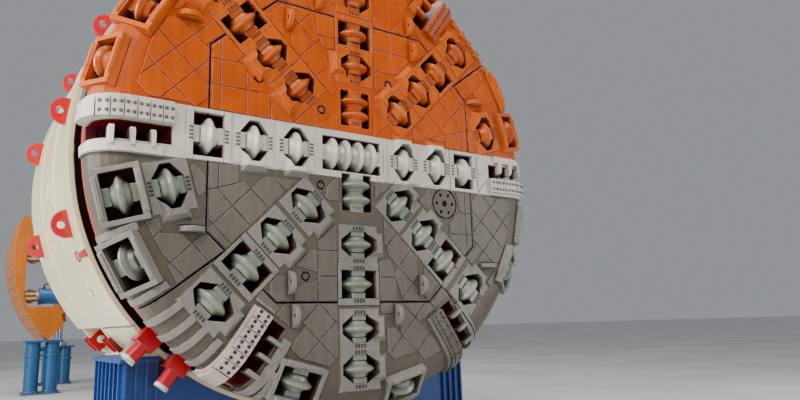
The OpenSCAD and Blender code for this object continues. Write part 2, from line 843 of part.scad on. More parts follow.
module drill_feed() rotate([0, -(90 + drill_lean), 0]) difference() {
    union() {
        box([drill_r - 60, drill_y - 50, -250], [drill_r + 250, drill_y + 300, 250]);
        box([drill_r - 200, drill_y - 310, -140], [drill_r + 1600, drill_y - 60, 140]);
        box([drill_r + 10, drill_y - 70, -140], [drill_r + 250, drill_y - 50, 140]);
    }
    box([drill_r - 201, drill_y - 400, -60], [drill_r + 1601, drill_y - 250, 60]);
    slab(drill_y - 51, drill_y + 301) circle(drill_r + fit, $fn = round_fn);
}

module drill_hammer() rotate([0, -(90 + drill_lean), 0]) union() {
    box([drill_r - 150, drill_y - 600, -150], [drill_r + 600, drill_y - 310 - fit, 150]);
    box([drill_r - 100, drill_y - 311, -60 + fit], [drill_r + 500, drill_y - 250 - fit, 60 - fit]);
    translate([0, drill_y - 450, 0]) rod_x(60, drill_r + 600, drill_r + 1400);
}

module drill_feed_left() color("orange") on_axis() drill_feed();

module drill_feed_right() color("orange") on_axis() mirror([1, 0, 0]) drill_feed();

module drill_hammer_left() color("steelblue") on_axis() drill_hammer();

module drill_hammer_right() color("steelblue") on_axis() mirror([1, 0, 0]) drill_hammer();

// Gripper carriage, cylinders and shoes

grip_zs = [grip_z - grip_gap / 2, grip_z + grip_gap / 2];
notch_x = bore_r - shoe_back - 340;
pin_x = notch_x - 290;
barrel_end = pin_x - 240;
grip_pad = 420;

// Box round the beam, waisted between its end plates, with a pad for each cylinder
module carriage_outline(less) {
    w = carriage_w / 2;
    polygon([[less - w, less - 1750], [w - less, less - 1750], [w - less, 1200], [w - 300, 1500 - less],
        [300 - w, 1500 - less], [less - w, 1200]]);
}

carriage_waist = 90;

module gripper_carriage() color("steelblue") on_axis() difference() {
    union() {
        for (y = [carriage_y, carriage_end - 120]) slab(y, y + 120) carriage_outline(0);
        slab(carriage_y + 20, carriage_end - 20) carriage_outline(carriage_waist);
        for (z = grip_zs) box([-carriage_w / 2, grip_y - grip_pad, z - grip_pad],
            [carriage_w / 2, grip_y + grip_pad, z + grip_pad]);
    }
    box([-guide_x - fit, 0, -beam_h / 2 - 10], [guide_x + fit, carriage_end + 1, beam_h / 2 + 10]);
    both() for (z = grip_zs) translate([0, grip_y, z])
        rod_x(grip_rod_d + 2 * fit, -carriage_w / 2 - 1, 200 - carriage_w / 2);
}

module gripper_barrels() color("cornflowerblue") on_axis() both() for (z = grip_zs)
    translate([0, grip_y, z]) difference() {
        union() {
            rod_x(grip_d, -barrel_end, -carriage_w / 2);
            rod_x(grip_d + 120, -carriage_w / 2 - 100, -carriage_w / 2 - fit);
            rod_x(grip_d + 60, -barrel_end, 90 - barrel_end);
        }
        rod_x(grip_rod_d + 2 * fit, -barrel_end - 1, 1 - carriage_w / 2);
    }

// Shoe's outline in its own frame, outward along the first axis
module shoe_outline() intersection() {
    circle(bore_r, $fn = round_fn);
    polygon([[bore_r - shoe_deep, -1620], [bore_r * cos(shoe_half), -bore_r * sin(shoe_half)],
        [far, -far * tan(shoe_half)], [far, far * tan(shoe_half)],
        [bore_r * cos(shoe_half), bore_r * sin(shoe_half)], [bore_r - shoe_deep, 1620]]);
}

module shoe_section() rotate(180 + shoe_dip) shoe_outline();

module shoe_skin() difference() {
    shoe_section();
    circle(bore_r - skin_t, $fn = round_fn);
}

module gripper_shoe() translate([shoe_back, 0, 0]) {
    slab(shoe_y, shoe_y + shoe_len) shoe_skin();
    for (y = [shoe_y, grip_y - 480, grip_y + 400, shoe_y + shoe_len - 80]) slab(y, y + 80) difference() {
        shoe_section();
        translate([-notch_x - shoe_back, grip_zs[0] - 380]) square([2000, grip_gap + 760]);
    }
    slab(shoe_y, shoe_y + shoe_len) intersection() {
        shoe_section();
        translate([-notch_x - shoe_back - 80, grip_zs[0] - 460]) square([80, grip_gap + 920]);
    }
    for (z = grip_zs) for (k = [-170, -30, 110]) translate([0, grip_y, z + k]) linear_extrude(60) difference() {
        union() {
            translate([-pin_x - shoe_back, 0]) circle(150, $fn = 48);
            translate([-notch_x - shoe_back - 10, -150]) square([notch_x - pin_x + 10, 300]);
        }
        translate([-pin_x - shoe_back, 0]) circle(70, $fn = 48);
    }
}

module gripper_shoe_left() color("peru") on_axis() gripper_shoe();

module gripper_shoe_right() color("peru") on_axis() mirror([1, 0, 0]) gripper_shoe();

module gripper_rods() for (z = grip_zs) translate([0, grip_y, z]) {
    difference() {
        union() {
            rod_x(grip_rod_d, -pin_x + 150, 130 - carriage_w / 2);
            box([-pin_x - 150, -150, -170], [-pin_x + 160, 150, 170]);
        }
        for (k = [-170, -30, 110]) box([-pin_x - 160, -160, k], [-pin_x + 150, 160, k + 60]);
    }
    translate([-pin_x, 0, -200]) cylinder(d = 140, h = 400, $fn = 48);
}

module gripper_rods_left() color("wheat") on_axis() gripper_rods();

module gripper_rods_right() color("wheat") on_axis() mirror([1, 0, 0]) gripper_rods();

thrust_x = beam_w / 2 + thrust_d / 2 + 110;
thrust_zs = [-620, 620];
thrust_end = carriage_y - 300;
thrust_y = thrust_end - stroke - 600;

module thrust_barrels() color("cornflowerblue") on_axis() both() for (z = thrust_zs) {
    translate([-thrust_x, 0, z]) difference() {
        union() {
            rod_y(thrust_d, thrust_y, thrust_end);
            rod_y(thrust_d + 50, thrust_end - 120, thrust_end);
            rod_y(thrust_d + 40, thrust_y, thrust_y + 160);
        }
        rod_y(thrust_rod_d + 2 * fit, thrust_y + 250, thrust_end + 1);
    }
    box([-thrust_x - 200, thrust_y - 200, z - 220], [-beam_w / 2, thrust_y, z + 220]);
}

module thrust_rods() color("silver") on_axis() both() for (z = thrust_zs) translate([-thrust_x, 0, z]) {
    rod_y(thrust_rod_d, thrust_end - stroke - 300, carriage_y);
    rod_y(thrust_rod_d + 120, carriage_y - 160, carriage_y);
}

// Rear support

leg_x = beam_w / 2 + 130;
leg_barrel_low = foot_z + 850;
frame_x = 1350;
flange_up = 120;

module rear_frame() color("steelblue") on_axis() {
    slab(leg_y - 300, leg_y + 300) difference() {
        polygon(cut_corners(frame_x, beam_h / 2 + 250, 260));
        square([beam_w, beam_h], center = true);
    }
    for (y = [leg_y - 340, leg_y + 290]) slab(y, y + 50) difference() {
        square([beam_w + 2 * flange_up, beam_h + 2 * flange_up], center = true);
        square([beam_w, beam_h], center = true);
    }
    both() translate([leg_x, leg_y, 0]) difference() {
        union() {
            translate([0, 0, leg_barrel_low]) {
                cylinder(d = leg_d, h = -leg_barrel_low - beam_h / 2 - 200, $fn = 48);
                cylinder(d = leg_d + 60, h = 120, $fn = 48);
            }
            translate([0, 0, -beam_h / 2 - 330]) cylinder(d = leg_d + 120, h = 90, $fn = 48);
        }
        translate([0, 0, leg_barrel_low - 1]) cylinder(d = leg_rod_d + 2 * fit, h = 850, $fn = 48);
    }
}

module rear_leg() translate([leg_x, leg_y, 0]) {
    translate([0, 0, foot_z + 100]) cylinder(d = leg_rod_d, h = 900, $fn = 48);
    translate([0, 0, foot_z]) cylinder(d = 640, h = 120, $fn = 48);
}

module rear_leg_right() color("silver") on_axis() rear_leg();

module rear_leg_left() color("silver") on_axis() mirror([1, 0, 0]) rear_leg();

// Cradle and stands

cradle_top = cradle_wrap - shield_r;
cradle_x = sqrt(shield_r * shield_r - cradle_top * cradle_top) + cradle_shoulder;
cradle_end = cradle_y + cradle_len;
rib_up = 45;

// Saddle block on a base plate, with upright ribs at its corners
module cradle() color("royalblue") on_axis() {
    slab(cradle_y, cradle_end) difference() {
        translate([-cradle_x, -axis_h]) square([2 * cradle_x, axis_h + cradle_top]);
        circle(shield_r + fit, $fn = round_fn);
    }
    box([-cradle_x - 100, cradle_y - 100, -axis_h], [cradle_x + 100, cradle_end + 100, 50 - axis_h]);
    both() {
        for (x = [0, 130, 260, 390]) box([cradle_x - 40 - x, cradle_y - rib_up, 20 - axis_h],
            [cradle_x - 10 - x, cradle_end + rib_up, cradle_top - 60]);
        for (y = [80 : 240 : cradle_len - 80]) box([cradle_x - 20, cradle_y + y, 20 - axis_h],
            [cradle_x + rib_up, cradle_y + y + 30, cradle_top - 60]);
        box([cradle_x - 460, cradle_y - rib_up - 15, cradle_top - 70],
            [cradle_x + rib_up + 15, cradle_end + rib_up + 15, cradle_top - 20]);
    }
}

// Two pipes between a base and a head plate, each pipe with a flange and a brace between them
module stand(x, y, top) translate([x, y, 0]) {
    half = (pipe_gap + pipe_d) / 2 + 60;
    box([-half, -half / 2 - 60, top - 60], [half, half / 2 + 60, top]);
    box([-half, -half / 2 - 60, -axis_h], [half, half / 2 + 60, 40 - axis_h]);
    for (s = [-0.5, 0.5]) translate([s * pipe_gap, 0, 0]) {
        translate([0, 0, -axis_h]) cylinder(d = pipe_d, h = axis_h + top - 30, $fn = 48);
        translate([0, 0, top - 480]) cylinder(d = pipe_d + 90, h = 50, $fn = 48);
        translate([0, 0, 30 - axis_h]) cylinder(d = pipe_d + 90, h = 60, $fn = 48);
    }
    box([-pipe_gap / 2, -25, top - 330], [pipe_gap / 2, 25, top - 230]);
    box([-pipe_gap / 2, -25, 230 - axis_h], [pipe_gap / 2, 25, 330 - axis_h]);
}

shoe_low = -bore_r * sin(shoe_dip + shoe_half);

module pipe_stands() color("steelblue") on_axis() both() {
    stand(shoe_back - bore_r * cos(shoe_dip + shoe_half) - 70, shoe_y + 400, shoe_low - 6);
    stand(-leg_x, leg_y, foot_z - fit);
}

head_centre_block();
head_right_segment();
head_top_segment();
head_left_segment();
head_bottom_segment();
face_cutters();
gauge_cutters();
scraper_plates();
head_lugs();
rear_ring();
head_drum();
drum_back_plate();
drum_webs();
head_support();
support_core();
drive_motors();
invert_shield();
side_shield_left();
side_shield_right();
roof_shield();
shield_cylinders();
side_rods_left();
side_rods_right();
main_beam_front();
main_beam_rear();
tow_bracket();
guide_rails();
belt_conveyor();
work_deck();
deck_cabinets();
shield_brackets();
erector_frame();
erector_ring();
erector_arm();
drill_ring();
drill_feed_left();
drill_feed_right();
drill_hammer_left();
drill_hammer_right();
gripper_carriage();
gripper_barrels();
gripper_shoe_left();
gripper_shoe_right();
gripper_rods_left();
gripper_rods_right();
thrust_barrels();
thrust_rods();
rear_frame();
rear_leg_left();
rear_leg_right();
cradle();
pipe_stands();
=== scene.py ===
import math

import bpy
import bmesh
from mathutils import Matrix, Vector
from mathutils.bvhtree import BVHTree


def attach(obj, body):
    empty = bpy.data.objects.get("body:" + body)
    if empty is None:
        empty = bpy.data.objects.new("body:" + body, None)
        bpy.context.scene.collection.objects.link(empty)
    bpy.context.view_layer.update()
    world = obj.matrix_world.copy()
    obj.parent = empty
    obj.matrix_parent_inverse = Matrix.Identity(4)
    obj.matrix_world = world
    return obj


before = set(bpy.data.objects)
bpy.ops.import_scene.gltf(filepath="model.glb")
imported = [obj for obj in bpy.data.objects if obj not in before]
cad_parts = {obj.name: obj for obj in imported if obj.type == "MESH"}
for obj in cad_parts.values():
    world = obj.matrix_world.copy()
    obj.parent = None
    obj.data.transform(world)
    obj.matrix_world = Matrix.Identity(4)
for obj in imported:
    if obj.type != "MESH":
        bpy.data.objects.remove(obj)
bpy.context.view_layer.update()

# Metres: height of the axis, place of the face, radius of its flat part, rounding of its rim and half
# height of its white band
AXIS_Z = 4.2
FACE_Y = -2.0
FLAT_R = 3.25
ROUND = 0.39
BAND = 0.35


def cos_sin(degrees):
    return math.cos(math.radians(degrees)), math.sin(math.radians(degrees))


def spot(x, y, z):
    """A point whose height is counted from the machine's axis."""
    return x, y, AXIS_Z + z


# Colours

def srgb(red, green, blue):
    def linear(c):
        c = c / 255
        return c / 12.92 if c <= 0.04045 else ((c + 0.055) / 1.055) ** 2.4
    return (linear(red), linear(green), linear(blue), 1)


ORANGE = srgb(206, 84, 0)
BAND_WHITE = srgb(226, 220, 208)
WARM_GREY = srgb(104, 95, 84)
PINK_WHITE = srgb(214, 190, 184)
DISC_GREY = srgb(150, 152, 140)
MAROON = srgb(72, 3, 14)
RED = srgb(196, 8, 28)
CREAM = srgb(250, 240, 192)
OCHRE = srgb(182, 94, 4)
CYLINDER_BLUE = srgb(46, 122, 206)
STAND_BLUE = srgb(14, 82, 132)
CRADLE_BLUE = srgb(4, 62, 140)
STEEL = srgb(176, 178, 180)
DARK = srgb(34, 32, 32)
YELLOW = srgb(226, 176, 30)


# Materials

EDGE_RADIUS = 0.012


class Paint:
    """One material and short calls for its node tree."""

    def __init__(self, name):
        self.material = bpy.data.materials.new(name)
        self.material.use_nodes = True
        self.tree = self.material.node_tree
        self.tree.nodes.clear()
        self.place = self.add("ShaderNodeTexCoord").outputs["Object"]

    def add(self, kind, **values):
        node = self.tree.nodes.new(kind)
        for key, value in values.items():
            setattr(node, key, value)
        return node

    def feed(self, node, values):
        """Link or set the named or numbered inputs of a node."""
        for key, value in values.items():
            if isinstance(value, bpy.types.NodeSocket):
                self.tree.links.new(value, node.inputs[key])
            else:
                node.inputs[key].default_value = value

    def math(self, operation, *values):
        node = self.add("ShaderNodeMath", operation=operation)
        self.feed(node, dict(enumerate(values)))
        return node.outputs[0]

    def plus(self, first, second):
        return self.math("ADD", first, second)

    def minus(self, first, second):
        return self.math("SUBTRACT", first, second)

    def times(self, first, second):
        return self.math("MULTIPLY", first, second)

    def vector_math(self, operation, *values, output=0):
        node = self.add("ShaderNodeVectorMath", operation=operation)
        self.feed(node, dict(enumerate(values)))
        return node.outputs[output]

    def mix(self, share, first, second, how="MIX"):
        node = self.add("ShaderNodeMix", data_type="RGBA", blend_type=how)
        self.feed(node, {0: share, 6: first, 7: second})
        return node.outputs[2]

    def step(self, value, low, high):
        node = self.add("ShaderNodeMapRange", interpolation_type="SMOOTHSTEP")
        self.feed(node, {0: value, 1: low, 2: high})
        return node.outputs[0]

    def noise(self, scale, detail=3.0, stretch=None):
        node = self.add("ShaderNodeTexNoise")
        place = self.vector_math("MULTIPLY", self.place, stretch) if stretch else self.place
        self.feed(node, {"Vector": place, "Scale": scale, "Detail": detail, "Roughness": 0.55})
        return node.outputs[0]

    def axes(self):
        node = self.add("ShaderNodeSeparateXYZ")
        self.feed(node, {0: self.place})
        return node.outputs

    def edge(self):
        """Share of edge, where the colour is lightened partly as wear and partly as painted highlight, and the normal
        of rounded edges.
        """
        bevel = self.add("ShaderNodeBevel", samples=4)
        self.feed(bevel, {"Radius": EDGE_RADIUS})
        plain = self.add("ShaderNodeNewGeometry").outputs["Normal"]
        same = self.vector_math("DOT_PRODUCT", bevel.outputs[0], plain, output=1)
        return self.step(same, 0.97, 0.80), bevel.outputs[0]

    # Ambient occlusion, used to darken corners and recesses as painted shade
    def occlusion_for_shade(self, distance):
        node = self.add("ShaderNodeAmbientOcclusion", samples=6)
        self.feed(node, {"Distance": distance})
        return node.outputs["AO"]

    def bump(self, height, normal, strength, distance):
        node = self.add("ShaderNodeBump")
        self.feed(node, {"Strength": strength, "Distance": distance, "Height": height, "Normal": normal})
        return node.outputs[0]

    def finish(self, colour, rough, metal, normal, coat=0.0, shine=0.5):
        shader = self.add("ShaderNodeBsdfPrincipled")
        self.feed(shader, {"Base Color": colour, "Roughness": rough, "Metallic": metal, "Normal": normal,
                           "Specular IOR Level": shine, "Coat Weight": coat, "Coat Roughness": 0.12})
        self.feed(self.add("ShaderNodeOutputMaterial"), {0: shader.outputs[0]})
        return self.material


def worn(name, colour, rough=0.38, metal=0.0, coat=0.25, edge_light=0.35, edge_wear_highlight_colour=None, painted_shade=0.55,
         grain=60.0, relief=0.25, pattern=None, uneven=0.2, shine=0.5):
    """Painted or machined steel: uneven tone, painted shade in corners, edges lightened partly as wear and partly as
    painted highlight, and fine relief.
    The colour is a value or a call that makes a socket from the material."""
    p = Paint(name)
    base = colour(p) if callable(colour) else colour
    big, fine = p.noise(0.9, 4.0), p.noise(grain, 4.0)
    streak = p.noise(2.2, 5.0, (5.0, 5.0, 0.6))
    tone = p.plus(p.times(big, 0.5), p.times(streak, 0.35))
    tone = p.plus(tone, p.times(fine, 0.15))
    low, high = 1 - uneven, 1 + 0.6 * uneven
    shade = p.mix(p.step(tone, 0.35, 0.66), (low, low, low, 1), (high, high, high, 1))
    base = p.mix(1.0, base, shade, "MULTIPLY")
    light, normal = p.edge()
    # Painted shade: near black is mixed into corners and recesses by ambient occlusion
    closed = p.step(p.occlusion_for_shade(0.3), 0.15, 0.85)
    painted_shade_share = p.times(p.minus(1.0, closed), painted_shade)
    base = p.mix(painted_shade_share, base, (0.018, 0.014, 0.012, 1))
    # Edges lightened partly as paint wear and partly as a painted highlight
    edge_wear_and_highlight = p.times(light, p.times(p.step(p.noise(9.0, 4.0), 0.3, 0.6), edge_light))
    base = p.mix(edge_wear_and_highlight, base, edge_wear_highlight_colour or (0.85, 0.85, 0.83, 1))
    height = p.plus(p.times(fine, 0.5), p.times(p.noise(14.0, 3.0), 0.8))
    if pattern:
        height = p.plus(height, pattern(p))
    normal = p.bump(height, normal, relief, 0.004)
    gloss = p.plus(rough - 0.08, p.times(p.noise(5.0, 4.0), 0.18))
    return p.finish(base, gloss, metal, normal, coat, shine)


def above_axis(p):
    return p.minus(p.axes()[2], AXIS_Z)


def from_axis(p):
    x, up = p.axes()[0], above_axis(p)
    return p.math("SQRT", p.plus(p.times(x, x), p.times(up, up)))


def depth_in_head(p):
    """How deep a point of the cutterhead lies behind the outer form of its face and rim."""
    out = p.math("MAXIMUM", p.minus(from_axis(p), FLAT_R), 0.0)
    front = p.math("MAXIMUM", p.minus(ROUND, p.minus(p.axes()[1], FACE_Y)), 0.0)
    return p.minus(ROUND, p.math("SQRT", p.plus(p.times(out, out), p.times(front, front))))


def zones(p, top, band, low, deep=None):
    """The three paint zones of the cutterhead by height, with primer inside its openings."""
    up = above_axis(p)
    colour = p.mix(p.step(up, BAND - 0.004, BAND + 0.004), band, top)
    colour = p.mix(p.step(up, 0.004 - BAND, -0.004 - BAND), colour, low)
    if deep is None:
        return colour
    return p.mix(p.step(depth_in_head(p), 0.03, 0.075), colour, deep)


def bucket_share(p, turn, offset, low, high):
    """One along a bucket between two distances across it, counted from its lip."""
    (c, s), x, up = cos_sin(turn), p.axes()[0], above_axis(p)
    along = p.plus(p.times(x, c), p.times(up, s))
    across = p.minus(p.minus(p.times(up, c), p.times(x, s)), offset)
    share = p.times(p.step(across, low - 0.002, low + 0.002), p.step(across, high + 0.002, high - 0.002))
    return p.times(share, p.step(along, 2.6, 2.61))


def head_colour(p):
    """Paint zones, with the raised rail of the lower left bucket bright and primer in the openings."""
    raised = p.step(depth_in_head(p), -0.012, -0.018)
    rail = bucket_share(p, 235, 0.24, -0.312, 0.02)
    low = p.mix(p.times(rail, raised), WARM_GREY, PINK_WHITE)
    low = p.mix(p.times(raised, 0.2), low, (0.8, 0.78, 0.74, 1))
    top = p.mix(p.times(raised, 0.35), ORANGE, srgb(240, 118, 8))
    return zones(p, top, BAND_WHITE, low, srgb(120, 4, 20))


def rim_hatch(p):
    """Crossed beads of hardfacing on the rounded rim."""
    x, y, z = p.axes()
    radius = from_axis(p)
    round_it = p.times(p.math("ARCTAN2", p.minus(z, AXIS_Z), x), 3.4)
    deep = p.minus(y, radius)
    beads = []
    for sign in (1.0, -1.0):
        line = p.math("SINE", p.times(p.plus(round_it, p.times(deep, sign)), 75.0))
        beads.append(p.math("POWER", p.math("ABSOLUTE", line), 0.5))
    share = p.times(p.step(radius, 3.31, 3.33), p.step(p.math("ABSOLUTE", depth_in_head(p)), 0.01, 0.006))
    return p.times(p.times(p.math("MINIMUM", *beads), -2.5), share)


def disc_colour(p):
    top = p.mix(p.step(p.noise(3.0), 0.45, 0.6), ORANGE, srgb(214, 108, 30))
    return zones(p, top, BAND_WHITE, DISC_GREY)


def scraper_colour(p):
    low = p.mix(p.step(p.axes()[0], -0.5, -0.9), WARM_GREY, PINK_WHITE)
    return zones(p, ORANGE, BAND_WHITE, low)


def hatch(p):
    """Crossed weld beads of hardfacing."""
    lines = []
    for turn in ((1, 0, 1), (1, 0, -1)):
        along = p.vector_math("DOT_PRODUCT", p.place, turn, output=1)
        lines.append(p.math("ABSOLUTE", p.math("SINE", p.times(along, 110.0))))
    return p.times(p.math("MINIMUM", *lines), -3.0)


def ring_colour(p):
    """Red behind and darker in front, with dark grooves round it."""
    y = p.minus(p.axes()[1], FACE_Y)
    line = p.math("ABSOLUTE", p.math("SINE", p.times(y, 120.0)))
    colour = p.mix(p.step(y, 0.66, 0.68), srgb(120, 14, 30), RED)
    return p.mix(p.times(p.step(line, 0.25, 0.05), 0.6), colour, MAROON)


def shield_colour(p):
    """Cream skins with red padeyes."""
    return p.mix(p.step(from_axis(p), 3.704, 3.708), CREAM, RED)


def bracket_colour(p):
    """Red brackets whose tubes end white."""
    return p.mix(p.step(from_axis(p), 3.992, 3.996), RED, srgb(232, 230, 224))


# Darker copies of the zone colours for lock bars and bolts: partly their own colour, partly painted shade of the
# shadows round the bars
def lock_colour_and_shade(p):
    return zones(p, srgb(96, 30, 4), srgb(110, 84, 78), srgb(48, 46, 42))


def rubber_colour(p):
    return p.mix(p.noise(7.0, 4.0), srgb(22, 22, 23), srgb(48, 46, 45))


def concrete():
    p = Paint("pale_floor")
    tone = p.plus(p.times(p.noise(0.25, 5.0), 0.6), p.times(p.noise(8.0, 5.0), 0.4))
    colour = p.mix(p.step(tone, 0.3, 0.7), srgb(198, 198, 196), srgb(226, 226, 224))
    plain = p.add("ShaderNodeNewGeometry").outputs["Normal"]
    return p.finish(colour, p.plus(0.35, p.times(p.noise(2.0), 0.3)), 0.0,
                    p.bump(p.noise(30.0, 5.0), plain, 0.1, 0.003))


M = {
    "head": worn("head_zone_paint", head_colour, rough=0.42, coat=0.05, edge_light=0.7, grain=45.0, pattern=rim_hatch,
                 shine=0.2),
    "disc": worn("disc_paint", disc_colour, rough=0.32, metal=0.15, edge_light=0.7, coat=0.15),
    "scraper": worn("scraper_paint", scraper_colour, rough=0.45, edge_light=0.5, pattern=hatch, relief=0.5),
    "ring": worn("ring_paint", ring_colour, edge_light=0.3),
    "maroon": worn("maroon_primer", MAROON, rough=0.5, coat=0.0, edge_light=0.1),
    "red": worn("red_paint", RED, rough=0.3, edge_light=0.25, edge_wear_highlight_colour=srgb(236, 150, 150)),
    "cream": worn("cream_paint", CREAM, rough=0.24, coat=0.5, edge_light=0.3, painted_shade=0.4, uneven=0.07, relief=0.08),
    "shield": worn("shield_paint", shield_colour, rough=0.22, coat=0.6, edge_light=0.3, painted_shade=0.3, uneven=0.05,
                   relief=0.05),
    "bracket": worn("bracket_paint", bracket_colour, rough=0.3, edge_light=0.25),
    "lock": worn("lock_paint_and_shade", lock_colour_and_shade, rough=0.5, coat=0.0, edge_light=0.2),
    "ochre": worn("ochre_paint", OCHRE, rough=0.36, edge_wear_highlight_colour=srgb(236, 200, 140)),
    "light_blue": worn("light_blue_paint", CYLINDER_BLUE, rough=0.26, coat=0.4, painted_shade=0.45),
    "stand": worn("stand_blue_paint", STAND_BLUE, rough=0.34),
    "cradle": worn("cradle_blue_paint", CRADLE_BLUE, rough=0.36, edge_wear_highlight_colour=srgb(120, 170, 220)),
    "yellow": worn("yellow_paint", YELLOW, rough=0.34),
    "orange": worn("orange_paint", ORANGE, rough=0.34),
    "steel": worn("machined_steel", STEEL, rough=0.3, metal=0.9, coat=0.0, edge_light=0.2, painted_shade=0.35),
    "rod": worn("polished_rod", srgb(214, 216, 220), rough=0.14, metal=1.0, coat=0.0, edge_light=0.1, painted_shade=0.2,
                relief=0.05),
    "dark": worn("dark_steel", DARK, rough=0.5, metal=0.3, coat=0.0, edge_light=0.15, painted_shade=0.3),
    "shoe_plate": worn("shoe_plate_paint", srgb(196, 112, 24), rough=0.42, edge_light=0.5, pattern=hatch, relief=0.5,
                       edge_wear_highlight_colour=srgb(236, 200, 140)),
    "white": worn("white_paint", srgb(238, 238, 236), rough=0.3, edge_light=0.1, painted_shade=0.4),
    "rubber": worn("black_rubber", rubber_colour, rough=0.62, coat=0.0, edge_light=0.05, painted_shade=0.2),
}

NODE_LOOKS = {
    "head": ["head_centre_block", "head_right_segment", "head_top_segment", "head_left_segment",
             "head_bottom_segment", "head_lugs"],
    "disc": ["face_cutters", "gauge_cutters"],
    "scraper": ["scraper_plates"],
    "ring": ["rear_ring"],
    "maroon": ["head_drum", "drum_back_plate", "drum_webs"],
    "red": ["tow_bracket"],
    "bracket": ["shield_brackets"],
    "shield": ["side_shield_left", "side_shield_right", "roof_shield"],
    "white": ["deck_cabinets"],
    "cream": ["head_support", "support_core", "invert_shield", "main_beam_front", "main_beam_rear",
              "gripper_carriage", "gripper_rods_left", "gripper_rods_right"],
    "light_blue": ["drive_motors", "shield_cylinders", "gripper_barrels", "thrust_barrels"],
    "ochre": ["gripper_shoe_left", "gripper_shoe_right", "rear_frame"],
    "cradle": ["cradle"],
    "stand": ["pipe_stands"],
    "yellow": ["work_deck", "erector_frame", "drill_ring"],
    "orange": ["erector_ring", "drill_feed_left", "drill_feed_right"],
    "steel": ["guide_rails", "erector_arm", "drill_hammer_left", "drill_hammer_right"],
    "rod": ["side_rods_left", "side_rods_right", "thrust_rods", "rear_leg_left", "rear_leg_right"],
    "rubber": ["belt_conveyor"],
}
for look, names in NODE_LOOKS.items():
    for name in names:
        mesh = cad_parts[name].data
        mesh.materials.clear()
        mesh.materials.append(M[look])


# Meshes

def ring_faces(rings, count):
    """Faces between rings of points, with both ends closed."""
    faces = [[k * count + i, k * count + (i + 1) % count, (k + 1) * count + (i + 1) % count, (k + 1) * count + i]
             for k in range(rings - 1) for i in range(count)]
    return faces + [list(range(count))[::-1], [(rings - 1) * count + i for i in range(count)]]


def round_turns(count):
    return [2 * math.pi * i / count for i in range(count)]


def add_object(name, data):
    thing = bpy.data.objects.new(name, data)
    bpy.context.scene.collection.objects.link(thing)
    return thing


class Shape:
    """Vertices and faces that are added up into one piece."""

    def __init__(self):
        self.points, self.faces = [], []

    def add(self, points, faces, place=None):
        start = len(self.points)
        self.points += [(place @ Vector(p)) if place else Vector(p) for p in points]
        self.faces += [[start + k for k in f] for f in faces]

    def prism(self, outline, low, high, chamfer, place):
        """Outline in (x, y), pulled from z low to high, with a chamfer round the high end."""
        n = len(outline)
        centre = Vector((sum(p[0] for p in outline) / n, sum(p[1] for p in outline) / n))
        share = 1 - chamfer / max((Vector(p) - centre).length for p in outline)
        inner = [tuple(centre + (Vector(p) - centre) * share) for p in outline]
        rings = ((outline, low), (outline, high - chamfer), (inner, high))
        self.add([(x, y, h) for ring, h in rings for x, y in ring], ring_faces(3, n), place)

    def lathe(self, profile, count, place):
        """Profile of (radius, height), turned round z, closed at both ends."""
        points = [(r * math.cos(t), r * math.sin(t), h) for r, h in profile for t in round_turns(count)]
        self.add(points, ring_faces(len(profile), count), place)

    def tube(self, path, radius, count=10):
        """Round hose or bar along a path of points."""
        path = [Vector(p) for p in path]
        points, side = [], (path[1] - path[0]).normalized().orthogonal().normalized()
        for k, here in enumerate(path):
            along = (path[min(k + 1, len(path) - 1)] - path[max(k - 1, 0)]).normalized()
            side = (side - along * side.dot(along)).normalized()
            other = along.cross(side)
            points += [here + radius * (math.cos(t) * side + math.sin(t) * other) for t in round_turns(count)]
        self.add(points, ring_faces(len(path), count))

    def make(self, name, look, slot, body="machine"):
        mesh = bpy.data.meshes.new(name)
        mesh.from_pydata([tuple(p) for p in self.points], [], self.faces)
        work = bmesh.new()
        work.from_mesh(mesh)
        bmesh.ops.recalc_face_normals(work, faces=work.faces)
        work.to_mesh(mesh)
        work.free()
        mesh.polygons.foreach_set("use_smooth", [True] * len(mesh.polygons))
        mesh.set_sharp_from_angle(angle=math.radians(35))
        mesh.materials.append(M[look])
        piece = add_object(name, mesh)
        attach(piece, body)


def rectangle(half_x, half_y):
    return [(-half_x, -half_y), (half_x, -half_y), (half_x, half_y), (-half_x, half_y)]


def hexagon(radius):
    return [tuple(radius * v for v in cos_sin(60 * i)) for i in range(6)]


def facing(at, towards):
    """A place whose z looks towards a direction."""
    return Matrix.Translation(at) @ Vector(towards).to_track_quat("Z", "Y").to_matrix().to_4x4()


def on_face(x, z, turn=0.0, y=FACE_Y):
    """A place on the face: its x goes right, its y up and its z out of the face, turned counterclockwise."""
    out = Matrix(((1, 0, 0, x), (0, 0, -1, y), (0, 1, 0, z + AXIS_Z), (0, 0, 0, 1)))
    return out @ Matrix.Rotation(math.radians(turn), 4, "Z")


def tree_of(names):
    points, faces = [], []
    for name in names:
        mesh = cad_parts[name].data
        start = len(points)
        points += [v.co.copy() for v in mesh.vertices]
        faces += [[start + k for k in f.vertices] for f in mesh.polygons]
    return BVHTree.FromPolygons(points, faces)


head_tree = tree_of(NODE_LOOKS["head"] + NODE_LOOKS["disc"] + NODE_LOOKS["scraper"])
LOOK_FROM = 1.5


def hit_head(x, z):
    """Height of the cutterhead's surface in front of a place on the face, and its normal."""
    place, normal = head_tree.ray_cast(Vector(spot(x, FACE_Y - LOOK_FROM, z)), Vector((0, 1, 0)))[:2]
    return (None, None) if place is None else (place.y - FACE_Y, normal)


# Layout of the face, seen from the front in metres

